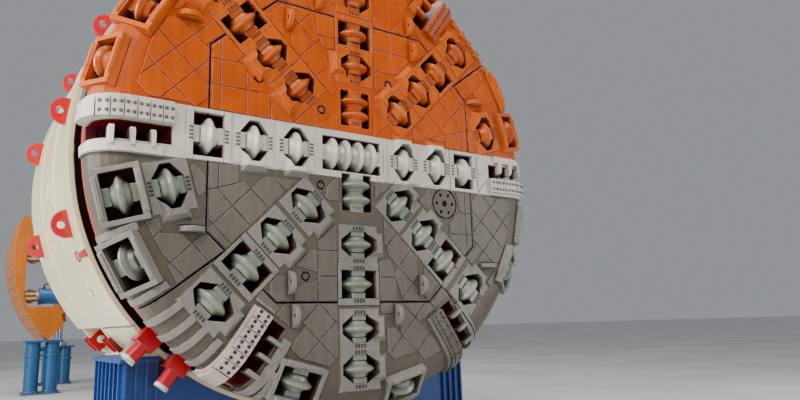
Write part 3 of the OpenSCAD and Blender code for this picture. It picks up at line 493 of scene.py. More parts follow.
# Columns: angle of the arm, places of its hexagonal and of its square housings in thousandths of the
# flat face's radius
ARMS = [(0, (268, 468), (649,)), (180, (305, 498), (689,)), (90, (431, 778, 948), (594,)),
        (270, (409, 778, 948), (585,)), (45.5, (351, 532, 905), (708,)), (225, (360, 554, 932), (738,)),
        (317, (314, 508, 886), (680,)), (136.5, (400, 585, 935), (757,)), (195, (865,), ()), (15.5, (849,), ())]
# Columns: angle, place and half length of the shared housings
GROUPS = [(90, 226, 0.28), (270, 172, 0.28), (180, 22, 0.50)]
# Columns: angle of a gauge housing and where it begins
GAUGES = [(195, 3.2), (208.4, 3.2), (166.6, 3.2), (152.4, 3.2), (253.4, 3.05), (283.3, 3.05)]
# Columns: angle of a bucket and how far its lip lies from the line through the axis
BUCKETS = [(180, -0.05), (235, 0.24), (303, 0.0), (0, -0.05), (55, 0.24), (123, 0.0)]
# Angles of the seams between the outer segments
SEAMS = [37, 129.5, 217, 309.5]
# Columns: x, z and radius of round features
ROUNDS = [(1.68, -0.58, 0.28), (0.63, 2.5, 0.28), (-0.58, 0.63, 0.09), (-0.6, -0.5, 0.09), (-0.85, -1.8, 0.09),
          (1.35, 1.78, 0.09), (0.62, 1.25, 0.09), (-1.56, 0.92, 0.09)]
# Columns: x, z and angle of a lifting lug; each has one opposite
LUGS = [(-1.09, -1.89, 0), (-1.03, -2.33, 0), (1.13, -1.90, 0), (0.65, -2.34, 0), (-2.42, -1.25, 90),
        (-2.54, 1.57, 90)]
# Corners of the centre block
BLOCK = [(2.23, 1.25), (1.28, 2.14), (-1.28, 2.14), (-2.23, 1.25), (-2.23, -1.25), (-1.28, -2.14), (1.28, -2.14),
         (2.23, -1.25)]
PLATE_HALF = 0.305
PLATE_REACH = 0.35


def turned(x, z, turn):
    c, s = cos_sin(turn)
    return x * c - z * s, x * s + z * c


def patch(turn, low_x, high_x, low_z, high_z):
    """Rectangle along a direction from the axis, counterclockwise."""
    return [turned(x, z, turn) for x, z in ((low_x, low_z), (high_x, low_z), (high_x, high_z), (low_x, high_z))]


def face_blocks():
    """Outlines of what interrupts the wear plates."""
    blocks = []
    for turn, hexagons, squares in ARMS:
        for share in hexagons + squares:
            r = share * FLAT_R / 1000
            blocks.append(patch(turn, r - PLATE_HALF, r + PLATE_HALF, -PLATE_REACH, PLATE_REACH))
            if share in hexagons:
                blocks.append(patch(turn, r - 0.20, r + 0.20, 0.2, 0.455))
    for turn, share, half in GROUPS:
        r = share * FLAT_R / 1000
        blocks.append(patch(turn, r - half - 0.05, r + half + 0.05, -0.31, 0.31))
    for turn, low in GAUGES + [(g + 180, low) for g, low in GAUGES]:
        blocks.append(patch(turn, low, 3.4, -0.33, 0.33))
    for turn, offset in BUCKETS:
        blocks.append(patch(turn, 2.65, 3.4, offset - 0.33, offset + 0.44))
    for x, z, radius in ROUNDS:
        blocks.append([(x + radius * math.cos(t), z + radius * math.sin(t))
                       for t in (math.pi * k / 6 for k in range(12))])
    for x, z, turn in LUGS:
        for sign in (-1, 1):
            lug = patch(turn, -0.05, 0.05, -0.18, 0.18)
            blocks.append([(u + sign * x, v + sign * z) for u, v in lug])
    return blocks


def edges(outline):
    return zip(outline, outline[1:] + outline[:1])


def sides(outline):
    """A point on each side of an outline and the direction out of it."""
    found = []
    for p, q in edges(outline):
        length = math.hypot(q[0] - p[0], q[1] - p[1])
        if length > 1e-6:
            found.append((p, ((q[1] - p[1]) / length, (p[0] - q[0]) / length)))
    return found


def clip(outline, at, out, by=0.0):
    """Part of a convex outline behind a line, which may be moved in."""
    kept = []
    for p, q in edges(outline):
        a, b = (((r[0] - at[0]) * out[0] + (r[1] - at[1]) * out[1] + by) for r in (p, q))
        if a <= 0:
            kept.append(p)
        if a * b < 0:
            t = a / (a - b)
            kept.append((p[0] + t * (q[0] - p[0]), p[1] + t * (q[1] - p[1])))
    return kept if len(kept) > 2 else []


def within(outline, block, by=0.0):
    for at, out in sides(block):
        outline = clip(outline, at, out, by)
    return outline


def area(outline):
    return sum(p[0] * q[1] - q[0] * p[1] for p, q in edges(outline)) / 2


def beside(outline, block, by=0.0):
    """Largest part of a convex outline that keeps off a convex block."""
    if not outline or area(within(outline, block, -by)) < 1e-5:
        return outline
    return max((clip(outline, at, (-out[0], -out[1]), by) for at, out in sides(block)), key=area)


# Wear plates on the face

TILE = 0.36
GROOVE = 0.014
TILE_UP = 0.014
TILE_CHAMFER = 0.005
SMALLEST = 0.014
SEAM = 0.028
SEAM_HALF = 0.02
BLOCK_GAP = 0.006
NARROWEST = 0.025
GRID_IN = 0.55
TILES_END = 3.235
DIAGONALS = [45.5, 136.5, 225, 317]
LEANING = [[turned(r, 0, a) for r, a in ((0.7, d - 27), (4, d - 27), (4, d), (0.7, d))] for d in DIAGONALS]
QUARTERS = [[turned(r, 0, q + a) for r, a in ((0.01, 0), (6, 0), (8, 45), (6, 90))] for q in (0, 90, 180, 270)]


def is_bare(outline):
    """True where the flat face lies open under an outline."""
    n = len(outline)
    middle = (sum(p[0] for p in outline) / n, sum(p[1] for p in outline) / n)
    for p, q in edges(outline):
        for k in range(4):
            edge = (p[0] + (q[0] - p[0]) * k / 4, p[1] + (q[1] - p[1]) * k / 4)
            for share in (0.98, 0.8, 0.6, 0.3):
                x, z = (middle[j] + (edge[j] - middle[j]) * share for j in (0, 1))
                up = hit_head(x, z)[0]
                if up is None or abs(up) > 0.002:
                    return False
    return True


def split_at_seams(outline):
    """The parts of an outline on both sides of each seam between the outer segments."""
    parts = [outline]
    for turn in SEAMS:
        ahead, out = turned(1, 0, turn), turned(0, 1, turn)
        cut = []
        for part in parts:
            if part and sum(p[0] * ahead[0] + p[1] * ahead[1] for p in part) > 0:
                cut += [clip(part, (0, 0), out, SEAM_HALF), clip(part, (0, 0), (-out[0], -out[1]), SEAM_HALF)]
            else:
                cut.append(part)
        parts = cut
    return parts


def lay(shape, outline, blocks):
    """One wear plate, cut back from what interrupts it."""
    for k in range(48):
        out = turned(1, 0, 7.5 * k)
        outline = clip(outline, (out[0] * TILES_END, out[1] * TILES_END), out)
    for sign in (-1, 1):
        if outline and min(p[1] * sign for p in outline) < BAND < max(p[1] * sign for p in outline):
            for out in (sign, -sign):
                lay(shape, clip(outline, (0, sign * BAND), (0, out)), blocks)
            return
    for block in blocks:
        outline = beside(outline, block, GROOVE / 2)
    outline = within(outline, outline, GROOVE / 2)
    if outline and area(outline) >= SMALLEST and within(outline, outline, NARROWEST) and is_bare(outline):
        shape.prism(outline, -0.004, TILE_UP, TILE_CHAMFER, on_face(0, 0))


def face_tiles():
    """Square plates along the cross arms, and squares on their corner beside the diagonal arms."""
    shape = Shape()
    blocks = face_blocks()
    count = 9
    for sx in (-1, 1):
        for sz in (-1, 1):
            for i in range(count):
                for k in range(-1, count):
                    x, z = PLATE_HALF + i * TILE, BAND + k * TILE
                    square = [(sx * u, sz * v) for u, v in patch(0, x, x + TILE, z, z + TILE)][::sx * sz]
                    inner = within(square, BLOCK, BLOCK_GAP)
                    for zone in LEANING:
                        inner = beside(inner, zone)
                    lay(shape, inner, blocks)
    for turn, zone in zip(DIAGONALS, LEANING):
        for i in range(count):
            for k in range(-4, 0):
                x, z = GRID_IN + i * TILE, k * TILE - PLATE_REACH + TILE
                square = within(patch(turn, x, x + TILE, z - TILE, z), BLOCK, BLOCK_GAP)
                lay(shape, within(square, zone), blocks)
    for turn, quarter in zip(DIAGONALS, QUARTERS):
        for i in range(count):
            for k in range(-8, 8):
                x = GRID_IN + i * TILE
                z = PLATE_REACH + k * TILE if k >= 0 else -PLATE_REACH + (k + 1) * TILE - TILE
                square = within(patch(turn, x, x + TILE, z, z + TILE), quarter)
                for part in split_at_seams(beside(square, BLOCK, SEAM + BLOCK_GAP)):
                    lay(shape, part, blocks)
    shape.make("face_wear_plates", "head", "head_paint", "cutterhead")


face_tiles()


# Bolts and plates on the cutterhead

SCRAPER_IN = 2.70
SCRAPER_PITCH = 0.15
SCRAPER_N = 6


def scraper_bolts():
    """Four bolts on each scraper, where the cutterhead's surface faces ahead."""
    bright, dark = Shape(), Shape()
    for k, (turn, offset) in enumerate(BUCKETS):
        shape = dark if k == 1 else bright
        for i in range(SCRAPER_N):
            along = SCRAPER_IN + SCRAPER_PITCH * (i + 0.46)
            for a, v in ((-0.036, -0.075), (0.036, -0.075), (-0.036, -0.19), (0.036, -0.19)):
                x, z = turned(along + a, v + offset, turn)
                up, normal = hit_head(x, z)
                if up is not None and normal.y <= -0.4:
                    place, radius = facing(spot(x, FACE_Y + up, z), normal), 0.017
                    shape.lathe([(radius * 1.45, -0.003), (radius * 1.45, 0.004), (radius * 1.2, 0.006)], 12, place)
                    shape.prism(hexagon(radius), 0.0, 0.012, 0.004, place)
    bright.make("scraper_bolts", "lock", "cutter_steel", "cutterhead")
    dark.make("scraper_bolts_dark", "dark", "cutter_steel", "cutterhead")


POCKET_HALF = 0.20
POCKET_REACH = 0.29
FRAME_UP = 0.02


def housing_details():
    """Frames with bolts round the square housings, and lock bars beside the shafts of all."""
    frames, bars, bolts = Shape(), Shape(), Shape()
    for turn, hexagons, squares in ARMS:
        for share in hexagons + squares:
            r = share * FLAT_R / 1000
            for side in (-1, 1) if share in squares else ():
                for x, z, half_x, half_z in ((side * (POCKET_HALF + 0.05), 0, 0.045, 0.345),
                                             (0, side * (POCKET_REACH + 0.029), 0.20, 0.026)):
                    frames.prism(rectangle(half_x, half_z), -0.004, FRAME_UP, 0.006,
                                 on_face(*turned(r + x, z, turn), turn))
            for side in (-1, 1):
                for v in (-0.075, -0.025, 0.025, 0.075):
                    x, z = turned(r + side * (POCKET_HALF + 0.035), v, turn)
                    up, normal = hit_head(x, z)
                    if up is not None and normal.y <= -0.95:
                        y = FACE_Y + up - (FRAME_UP if share in squares else 0)
                        bars.prism(rectangle(0.026, 0.010), -0.002, 0.011, 0.003, on_face(x, z, turn, y))
                for v in (-0.29, -0.21, -0.14, 0.14, 0.21, 0.29) if share in squares else ():
                    x, z = turned(r + side * (POCKET_HALF + 0.055), v, turn)
                    bolts.prism(hexagon(0.012), -0.002, 0.009, 0.003, on_face(x, z, turn, FACE_Y - FRAME_UP))
    frames.make("housing_frames", "head", "head_paint", "cutterhead")
    bars.make("housing_locks", "lock", "cutter_steel", "cutterhead")
    bolts.make("housing_bolts", "disc", "cutter_steel", "cutterhead")


scraper_bolts()
housing_details()


# Side shields and dust seal

SHIELD_R = 3.70
SHIELD_Y = -0.9
SHIELD_END = 2.75
HINGE_TURN = 225.4
SIDES = (("left", -1), ("right", 1))


def polar(angle, radius, y):
    c, s = cos_sin(angle)
    return Vector(spot(radius * c, y, radius * s))


def outward(angle):
    c, s = cos_sin(angle)
    return Vector((c, 0, s))


def shield_details():
    """Ports, weld beads and hinges of the side shields, their straps with a loop, and the dust seal."""
    pins, diamonds = Shape(), Shape()
    for name, side in SIDES:
        def turn(angle):
            return angle if side < 0 else 180 - angle

        ports, seams, body = Shape(), Shape(), "side_shield_" + name
        for angle, y in ((210, -0.03), (186, 0.9), (160, 0.0)):
            place = facing(polar(turn(angle), SHIELD_R - 0.004, y), outward(turn(angle)))
            ports.lathe([(0.13, 0.0), (0.13, 0.016), (0.115, 0.022), (0.095, 0.022), (0.090, 0.010),
                         (0.035, 0.010), (0.030, 0.024)], 32, place)
            for i in range(6):
                c, s = cos_sin(60 * i)
                ports.prism(hexagon(0.011), 0.012, 0.028, 0.003,
                            place @ Matrix.Translation((0.064 * c, 0.064 * s, 0)))
        for y in (0.35, 1.55):
            seams.tube([polar(turn(a), SHIELD_R + 0.001, y) for a in range(132, 219, 3)], 0.007, 6)
        for a in (147, 178, 203):
            seams.tube([polar(turn(a), SHIELD_R + 0.001, y) for y in (SHIELD_Y + 0.02, SHIELD_END - 0.02)], 0.007, 6)
        seams.make("shield_weld_beads_" + name, "cream", "cream_paint", body)
        ports.make("shield_ports_" + name, "cream", "cream_paint", body)
        for y in (1.05, 2.5):
            for end in (-1, 1):
                at = polar(turn(HINGE_TURN), SHIELD_R - 0.07, y + end * 0.162)
                diamonds.prism([(0.2, 0), (0, 0.2), (-0.2, 0), (0, -0.2)], 0.0, 0.02, 0.004, facing(at, (0, end, 0)))
            pins.lathe([(0.05, -0.205), (0.065, -0.195), (0.065, -0.182), (0.04, -0.180), (0.04, 0.180),
                        (0.065, 0.182), (0.065, 0.195), (0.05, 0.205)], 24,
                       facing(polar(turn(HINGE_TURN), SHIELD_R - 0.09, y), (0, 1, 0)))
    seal = Shape()
    seal.lathe([(2.90, -0.01), (3.50, -0.01), (3.56, -0.03), (3.57, -0.02), (3.51, 0.01), (2.90, 0.01)], 96,
               facing(spot(0, -0.52, 0), (0, 1, 0)))
    seal.make("dust_seal", "maroon", "maroon_paint")
    for name, angle in (("left", 203), ("right", 337)):
        strap, loop, out = Shape(), Shape(), outward(angle)
        axes = Matrix((out.cross(Vector((0, 1, 0))), (0, 1, 0), out)).transposed().to_4x4()
        strap.prism([(-0.05, -0.2), (0.05, -0.2), (0.03, 0.26), (-0.03, 0.26)], -0.004, 0.02, 0.005,
                    Matrix.Translation(polar(angle, SHIELD_R, -0.68)) @ axes)
        loop.tube([polar(angle + 1.1 * math.cos(t), SHIELD_R + 0.012, -0.34 + 0.09 * math.sin(t))
                   for t in round_turns(20) + [2 * math.pi]], 0.007, 6)
        strap.make("shield_strap_" + name, "red", "red_paint", "side_shield_" + name)
        loop.make("shield_loop_" + name, "dark", "bare_steel", "side_shield_" + name)
    pins.make("shield_hinge_pins", "white", "cream_paint")
    diamonds.make("shield_hinge_plates", "red", "red_paint")


shield_details()


# Bolts, pipes and plates behind the head

def bolt(shape, at, axis, size=0.016, up=0.014):
    """Hexagon bolt on its washer."""
    place = facing(at, axis)
    shape.lathe([(size * 1.4, -0.003), (size * 1.4, 0.003)], 10, place)
    shape.prism(hexagon(size), 0.0, up, 0.003, place)


def bolts_round(shape, middle, axis, radius, count, size=0.016, up=0.014, turn=0.0):
    """Bolts in a circle round an axis."""
    centre = facing(middle, axis)
    for i in range(count):
        c, s = cos_sin(turn + 360 * i / count)
        bolt(shape, centre @ Vector((radius * c, radius * s, 0)), axis, size, up)


def bolts_along(shape, first, last, count, axis, size=0.016, up=0.014):
    """Bolts on a line between two points."""
    for i in range(count):
        bolt(shape, Vector(first).lerp(Vector(last), i / (count - 1)), axis, size, up)


def bolts_square(shape, y, half_x, half_z, towards, count):
    """Bolts along the four sides of a square joint, which look ahead (-1) or back (1)."""
    axis, size, short = (0, towards, 0), 0.018, half_z * 0.82
    for side in (-1, 1):
        bolts_along(shape, spot(-half_x, y, side * half_z), spot(half_x, y, side * half_z), count, axis, size)
        bolts_along(shape, spot(side * half_x, y, -short), spot(side * half_x, y, short), count - 1, axis, size)


def block(shape, low, high, chamfer=0.006):
    """Upright block between two corners with a chamfer round its top."""
    middle = [(a + b) / 2 for a, b in zip(low, high)]
    shape.prism(rectangle((high[0] - low[0]) / 2, (high[1] - low[1]) / 2), low[2], high[2], chamfer,
                Matrix.Translation((middle[0], middle[1], 0)))


def hose(shape, points, radius=0.02):
    """Round bend through a few points."""
    points = [Vector(p) for p in points]
    path = []
    for i in range(len(points) - 1):
        before, after = points[max(i - 1, 0)], points[min(i + 2, len(points) - 1)]
        for k in range(5):
            t = k / 5
            path.append(0.5 * (2 * points[i] + (points[i + 1] - before) * t
                               + (2 * before - 5 * points[i] + 4 * points[i + 1] - after) * t * t
                               + (3 * points[i] - before - 3 * points[i + 1] + after) * t ** 3))
    path.append(points[-1])
    shape.tube(path, radius, 8)
    for end, inner in ((points[0], path[1]), (points[-1], path[-2])):
        shape.lathe([(radius * 1.5, -0.01), (radius * 1.5, 0.035), (radius * 1.1, 0.045)], 10, facing(end, inner - end))


MOTORS = [18 + 36 * i for i in range(10)]
MOTOR_R = 2.1


def motor_details():
    bolts, fins, grilles, cables = Shape(), Shape(), Shape(), Shape()
    for turn in MOTORS:
        for y, axis, radius in ((1.06, 1, 0.317), (1.38, 1, 0.275), (1.60, -1, 0.272)):
            bolts_round(bolts, polar(turn, MOTOR_R, y), (0, axis, 0), radius, 14, 0.013, 0.013)
        spin = Matrix.Rotation(math.radians(-turn), 4, "Y")
        place = Matrix.Translation((0, 0, AXIS_Z)) @ spin @ Matrix.Translation((MOTOR_R, 0, 0))
        for i in range(28):
            fin = place @ Matrix.Rotation(math.radians(360 * i / 28), 4, "Y")
            fins.prism(rectangle(0.003, 0.36), 0.25, 0.278, 0.002, fin @ Matrix.Translation((0, 2.06, 0)))
        for radius in (0.05, 0.10, 0.15, 0.20):
            grilles.lathe([(radius + 0.008, -0.003), (radius + 0.008, 0.004), (radius, 0.004), (radius, -0.003)], 24,
                          facing(place @ Vector((0, 2.6, 0)), (0, 1, 0)))
        path = [place @ Vector(p) for p in ((0.30, 2.0, 0.12), (0.32, 2.02, 0.28), (0.18, 2.12, 0.40),
                                            (-0.2, 2.35, 0.42), (-0.5, 2.55, 0.36))]
        last = path[-1] - Vector((0, 0, AXIS_Z))
        reach = max(abs(last.x) / 0.945, abs(last.z) / 0.995)
        path.append(Vector((last.x / reach, 2.62, AXIS_Z + last.z / reach)))
        hose(cables, path, 0.022)
        for v in (-0.10, 0.10):
            for y in (1.84, 2.14):
                bolts.prism(hexagon(0.010), 0.0, 0.01, 0.002, place @ Matrix.Translation((0.39, y, v))
                            @ Matrix.Rotation(math.radians(90), 4, "Y"))
    bolts.make("motor_bolts", "steel", "bare_steel")
    fins.make("motor_fins", "light_blue", "light_blue_paint")
    grilles.make("motor_grilles", "dark", "bare_steel")
    cables.make("motor_cables", "rubber", "belt_rubber")


THRUST_X = 1.25
THRUST_ZS = (-0.62, 0.62)


def structure_details():
    """Bolts at the joints of the support, the beam and the rear frame, and weld beads along the beam."""
    bolts, welds = Shape(), Shape()
    bolts_round(bolts, spot(0, 1.0, 0), (0, 1, 0), 2.82, 60, 0.02)
    bolts_round(bolts, spot(0, 1.0, 0), (0, 1, 0), 1.68, 28, 0.024, 0.02, 6)
    for y, towards in ((1.12, 1), (7.42, -1), (7.58, 1)):
        bolts_square(bolts, y, 1.04, 1.09, towards, 11)
    bolts_square(bolts, 17.29, 1.01, 1.06, 1, 9)
    for side in (-1, 1):
        out = (side, 0, 0)
        for y in (2.0, 3.25, 8.4, 9.5):
            for u in (-0.2, 0, 0.2):
                for v in (-0.29, 0.29):
                    bolt(bolts, spot(side * 0.98, y + u, 0.12 + v), out, 0.012, 0.01)
        for z in (-0.99, 0.99):
            for ends in ((1.13, 3.70), (5.45, 6.15)):
                welds.tube([spot(side * 0.952, y, z) for y in ends], 0.008, 6)
        for z in THRUST_ZS:
            for y in (10.0, 10.1):
                bolts_along(bolts, spot(side * 1.45, y, z - 0.15), spot(side * 1.45, y, z + 0.15), 3, out)
        for z in (-0.425, 0.425):
            bolt(bolts, spot(side * 1.1, 13.0, z), out)
    bolts.make("structure_bolts", "steel", "bare_steel")
    welds.make("beam_weld_beads", "cream", "cream_paint")


def conveyor_details():
    rollers, frames = Shape(), Shape()
    for i in range(16):
        rollers.lathe([(0.02, -0.5), (0.05, -0.49), (0.05, 0.49), (0.02, 0.5)], 14,
                      facing(spot(0, -0.5 + 1.2 * i, -0.36), (1, 0, 0)))
    for side in (-1, 1):
        for y, end, low, high in ((17.62, 17.88, -0.33, -0.13), (18.2, 18.48, -0.36, -0.10)):
            block(frames, spot(side * 0.64 - 0.03, y, low), spot(side * 0.64 + 0.03, end, high))
        bolts_along(frames, spot(side * 0.62, 17.7, -0.35), spot(side * 0.62, 18.4, -0.35), 6, (side, 0, 0), 0.011)
    frames.lathe([(0.16, 0.0), (0.16, 0.34), (0.14, 0.36), (0.10, 0.36), (0.10, 0.42)], 24,
                 facing(spot(0.67, 18.34, -0.23), (1, 0, 0)))
    rollers.make("conveyor_rollers", "steel", "bare_steel")
    frames.make("conveyor_bearings", "yellow", "yellow_paint")


def deck_details():
    """Doors with louvres and handles on the cabinets, rails round the deck, and the power pack's hoses."""
    plates, handles, rails, hoses = Shape(), Shape(), Shape(), Shape()
    deck = AXIS_Z + 1.06
    for cabinet in (8.0, 8.85):
        for k, grip in enumerate((0.28, 0.03)):
            y = cabinet + 0.05 + 0.37 * k
            block(plates, (-0.782, y, deck + 0.16), (-0.772, y + 0.33, deck + 1.38), 0.003)
            for j in range(8):
                z = deck + 1.1 + 0.025 * j
                block(handles, (-0.774, y + 0.06, z), (-0.764, y + 0.27, z + 0.01), 0.002)
            block(handles, (-0.775, y + grip, deck + 0.68), (-0.745, y + grip + 0.02, deck + 0.86), 0.004)
    for side in (-1, 1):
        block(rails, (side * 1.47 - 0.01, 7.70, deck), (side * 1.47 + 0.01, 11.70, deck + 0.12), 0.003)
    for y in (7.71, 11.69):
        for x in (-1.44, 1.44, -0.45, 0.45):
            rails.tube([(x, y, deck), (x, y, deck + 1.04)], 0.022)
        for z in (0.6, 1.04):
            for ends in ((-1.44, -0.45), (0.45, 1.44)):
                rails.tube([(x, y, deck + z) for x in ends], 0.020)
    for x, y in ((0.95, 9.2), (0.65, 9.25), (0.8, 9.3)):
        hose(hoses, [(x + u, y + v, deck + z) for u, v, z in
                     ((0, 0, 0.93), (0.05, 0.15, 1.05), (0.1, 0.3, 0.9), (0.1, 0.32, 0.70))], 0.018)
    for k in range(9):
        plates.lathe([(0.215, -0.006), (0.215, 0.006)], 24, facing((0.8, 8.3 + 0.07 * k, deck + 0.91), (0, 1, 0)))
    plates.make("cabinet_doors", "white", "white_paint")
    handles.make("deck_fittings", "dark", "bare_steel")
    rails.make("deck_rails", "yellow", "yellow_paint")
    hoses.make("power_pack_hoses", "rubber", "belt_rubber")


ERECT_R = 1.649
DRILL_R = 1.749
DRILL_LEAN = -125


def erector_details():
    frame_bolts, ring_bolts, pads = Shape(), Shape(), Shape()
    bolts_round(frame_bolts, spot(0, 4.5, 0), (0, 1, 0), 1.70, 32, up=0.012)
    bolts_round(ring_bolts, spot(0, 3.75, 0), (0, -1, 0), 1.80, 48, up=0.012, turn=3)
    for x in (-0.17, 0.17):
        for z in (1.95, 2.15, 2.35, 2.5):
            bolt(ring_bolts, spot(x, 3.75, z), (0, -1, 0), 0.014, 0.012)
    for x in (-0.28, 0.02):
        block(pads, spot(x, 3.79, ERECT_R + 1.118), spot(x + 0.26, 3.95, ERECT_R + 1.14), 0.008)
    frame_bolts.make("erector_frame_bolts", "steel", "bare_steel", "erector_frame")
    ring_bolts.make("erector_ring_bolts", "steel", "bare_steel", "erector_ring")
    pads.make("erector_pads", "rubber", "belt_rubber", "erector_arm")


def drill_details():
    """Bolts, pipes and a hose on both rock drills, the right one mirrored."""
    lean = Matrix.Translation((0, 0, AXIS_Z)) @ Matrix.Rotation(math.radians(DRILL_LEAN), 4, "Y")
    for name, side in SIDES:
        place = Matrix.Scale(-1, 4, (1, 0, 0)) @ lean if side > 0 else lean

        def on_drill(along, y, across):
            return place @ Vector((DRILL_R + along, y, across))

        feed, hammer, lines = Shape(), Shape(), Shape()
        for k in range(12):
            for v in (-0.143, 0.143):
                at = on_drill(-0.1 + 0.14 * k, 6.02, v)
                bolt(feed, at, on_drill(-0.1 + 0.14 * k, 6.02, 2 * v) - at, 0.012, 0.01)
        for v in (-0.11, 0.11):
            lines.tube([on_drill(along, 6.115, v) for along in (0.30, 0.8, 1.3, 1.55)], 0.014, 8)
        for v in (-0.1, 0.1):
            for along in (-0.1, 0.1, 0.3, 0.5):
                bolt(hammer, on_drill(along, 5.6, v), (0, -1, 0), 0.013, 0.01)
        hose(lines, [on_drill(*q) for q in ((0.26, 6.2, 0.2), (0.42, 6.2, 0.2), (0.45, 6.17, 0.08),
                                            (0.47, 6.13, 0.05))], 0.016)
        hammer.lathe([(0.07, 0.0), (0.07, 0.10), (0.05, 0.13), (0.05, 0.2), (0.03, 0.22)], 20,
                     facing(on_drill(0.6, 5.75, 0), on_drill(1, 5.75, 0) - on_drill(0, 5.75, 0)))
        feed.make("drill_feed_bolts_" + name, "steel", "bare_steel", "drill_feed_" + name)
        lines.make("drill_lines_" + name, "rubber", "belt_rubber", "drill_feed_" + name)
        hammer.make("drill_hammer_bolts_" + name, "dark", "bare_steel", "drill_hammer_" + name)


GRIP_Y = 13.8
GRIP_ZS = (-1.23, 0.03)


def carriage_details():
    bolts, hoses, covers = Shape(), Shape(), Shape()
    for side in (-1, 1):
        for z in GRIP_ZS:
            bolts_round(bolts, spot(side * 1.45, GRIP_Y, z), (side, 0, 0), 0.27, 16)
            bolts_round(bolts, spot(side * 2.18, GRIP_Y, z), (side, 0, 0), 0.215, 12, 0.012, 0.012)
            for x, y in ((1.58, -0.08), (2.02, 0.08)):
                covers.lathe([(0.05, 0.0), (0.05, 0.05), (0.04, 0.056)], 16,
                             facing(spot(side * x, GRIP_Y + y, z + 0.228), (0, 0, 1)))
                hose(hoses, [spot(side * u, GRIP_Y + y * v, z + w) for u, v, w in
                             ((x, 1, 0.28), (x, 1, 0.36), (x - 0.12, 1.6, 0.40), (1.45, 2.6, 0.37), (1.35, 3, 0.34))])
        for z in THRUST_ZS:
            bolts_round(bolts, spot(side * THRUST_X, 12.69, z), (0, -1, 0), 0.152, 8, 0.013, 0.012)
        for y, towards in ((12.85, -1), (14.75, 1)):
            for ends in ((-1.6, -0.95), (-0.3, 0.32)):
                bolts_along(bolts, *(spot(side * 1.28, y, z) for z in ends), 5, (0, towards, 0), 0.018)
        for z, last in ((-1.68, 1.15), (1.42, 1.0)):
            bolts_along(bolts, spot(side * 0.2, 12.85, z), spot(side * last, 12.85, z), 6, (0, -1, 0), 0.018)
    bolts.make("carriage_bolts", "steel", "bare_steel", "carriage")
    hoses.make("gripper_hoses", "rubber", "belt_rubber", "carriage")
    covers.make("gripper_ports", "light_blue", "light_blue_paint", "carriage")


def thrust_details():
    """Gland bolts of the thrust cylinders, and pipes with clips along them."""
    bolts, lines = Shape(), Shape()
    for side in (-1, 1):
        for z in THRUST_ZS:
            bolts_round(bolts, spot(side * THRUST_X, 12.55, z), (0, 1, 0), 0.168, 10, 0.012, 0.01)
            for c, s in (cos_sin(60), cos_sin(120)):
                x = side * (THRUST_X + 0.235 * c)
                lines.tube([spot(x, y, z + 0.235 * s) for y in (10.4, 11.2, 12.3)], 0.016, 8)
                for y in (10.42, 11.3, 12.28):
                    at = spot(side * (THRUST_X + 0.19 * c), y, z + 0.19 * s)
                    lines.prism(rectangle(0.03, 0.03), -0.01, 0.055, 0.006, facing(at, (side * c, 0, s)))
    bolts.make("thrust_gland_bolts", "steel", "bare_steel")
    lines.make("thrust_pipes", "steel", "bare_steel")


SHOE_R = 3.748


def shoe_details():
    """Grip plates on the outer skins and keeper plates on the pins."""
    for name, side in SIDES:
        plates, pins = Shape(), Shape()
        for i in range(11):
            c, s = cos_sin(193 + (i - 5) * 5.3)
            for k in range(7):
                at = spot(-side * (0.7 + SHOE_R * c), 12.71 + 0.362 * k, SHOE_R * s)
                plates.prism(rectangle(0.168, 0.168), -0.004, 0.014, 0.005, facing(at, (-side * c, 0, s)))
        for z in GRIP_ZS:
            for end in (-1, 1):
                at = spot(side * 2.42, GRIP_Y, z + end * 0.2)
                pins.lathe([(0.085, -0.004), (0.085, 0.012), (0.075, 0.018)], 20, facing(at, (0, 0, end)))
                bolts_round(pins, Vector(at) + Vector((0, 0, end * 0.018)), (0, 0, end), 0.045, 4, 0.010, 0.008)
        plates.make("grip_plates_" + name, "shoe_plate", "ochre_paint", "gripper_" + name)
        pins.make("gripper_pins_" + name, "steel", "bare_steel", "gripper_" + name)


def ground_details():
    """Anchor bolts of the cradle and stands, and bolts on the flanges of the stands' pipes."""
    bolts = Shape()
    up = (0, 0, 1)
    for side in (-1, 1):
        bolts_along(bolts, (-2.8, side * 0.872, 0.05), (2.8, side * 0.872, 0.05), 15, up, 0.02, 0.02)
        for x, y in ((side * 2.0675, 12.9), (side * 1.08, 16.95)):
            for end in (y - 0.27, y + 0.27):
                bolts_along(bolts, (x - 0.46, end, 0.04), (x + 0.46, end, 0.04), 4, up, 0.018, 0.018)
            for half in (-0.26, 0.26):
                bolts_round(bolts, (x + half, y, 0.09), up, 0.222, 12, 0.012, 0.012)
    bolts.make("base_bolts", "steel", "bare_steel")


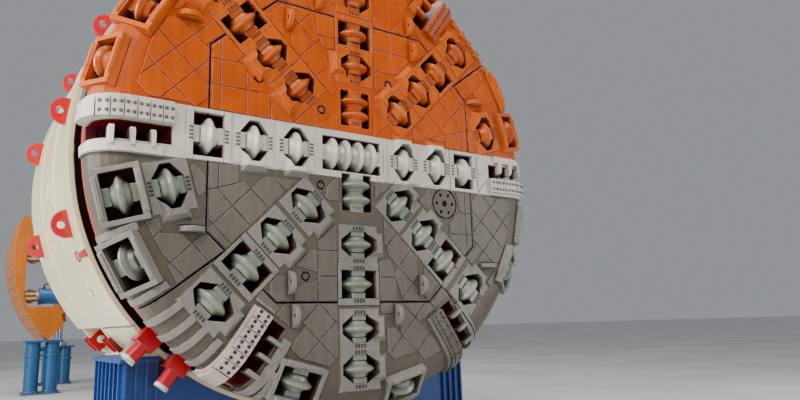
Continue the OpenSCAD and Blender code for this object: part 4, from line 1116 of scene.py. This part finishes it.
motor_details()
structure_details()
conveyor_details()
deck_details()
erector_details()
drill_details()
carriage_details()
thrust_details()
shoe_details()
ground_details()


# Floor, light and camera

def light(name, place, target, size, power, tint=(1, 1, 1)):
    data = bpy.data.lights.new(name, "AREA")
    data.shape = "RECTANGLE"
    data.size, data.size_y = size
    data.energy = power
    data.color = tint
    lamp = add_object(name, data)
    lamp.location = place
    lamp.rotation_euler = (Vector(target) - Vector(place)).to_track_quat("-Z", "Y").to_euler()


def studio():
    """Pale floor, soft sky and four area lights."""
    mesh = bpy.data.meshes.new("floor")
    mesh.from_pydata([(x, y, 0) for x, y in rectangle(300, 300)], [], [(0, 1, 2, 3)])
    mesh.materials.append(concrete())
    floor = add_object("floor", mesh)
    world = bpy.data.worlds.new("studio")
    world.use_nodes = True
    background = world.node_tree.nodes["Background"]
    background.inputs[0].default_value = (0.86, 0.90, 0.96, 1)
    background.inputs[1].default_value = 0.36
    bpy.context.scene.world = world
    light("key", (-9, -13, 15), (0, -1, 4), (10, 6), 1700, (1, 0.97, 0.92))
    light("fill", (10, -9, 4.5), (0, -1, 4), (6, 6), 400, (0.94, 0.97, 1))
    light("top", (0, 6, 17), (0, 6, 0), (10, 24), 2400)
    light("side", (-17, 1, 8), (-3, 2, 4), (16, 8), 4700)


def photo_camera():
    """Camera fitted to the photo, turned by yaw, pitch and roll in degrees."""
    (cos_y, sin_y), (cos_p, sin_p), (cos_r, sin_r) = cos_sin(36.02), cos_sin(10.92), cos_sin(-1.842)
    forward = Vector((sin_y * cos_p, cos_y * cos_p, sin_p))
    right = Vector((cos_y, -sin_y, 0))
    up = right.cross(forward)
    axes = Matrix((cos_r * right + sin_r * up, cos_r * up - sin_r * right, -forward)).transposed()
    data = bpy.data.cameras.new("camera")
    data.lens, data.sensor_width, data.clip_end = 29.04, 36, 500
    camera = add_object("camera", data)
    camera.matrix_world = Matrix.Translation((-4.980, -9.929, 1.713)) @ axes.to_4x4()
    bpy.context.scene.camera = camera


studio()
photo_camera()
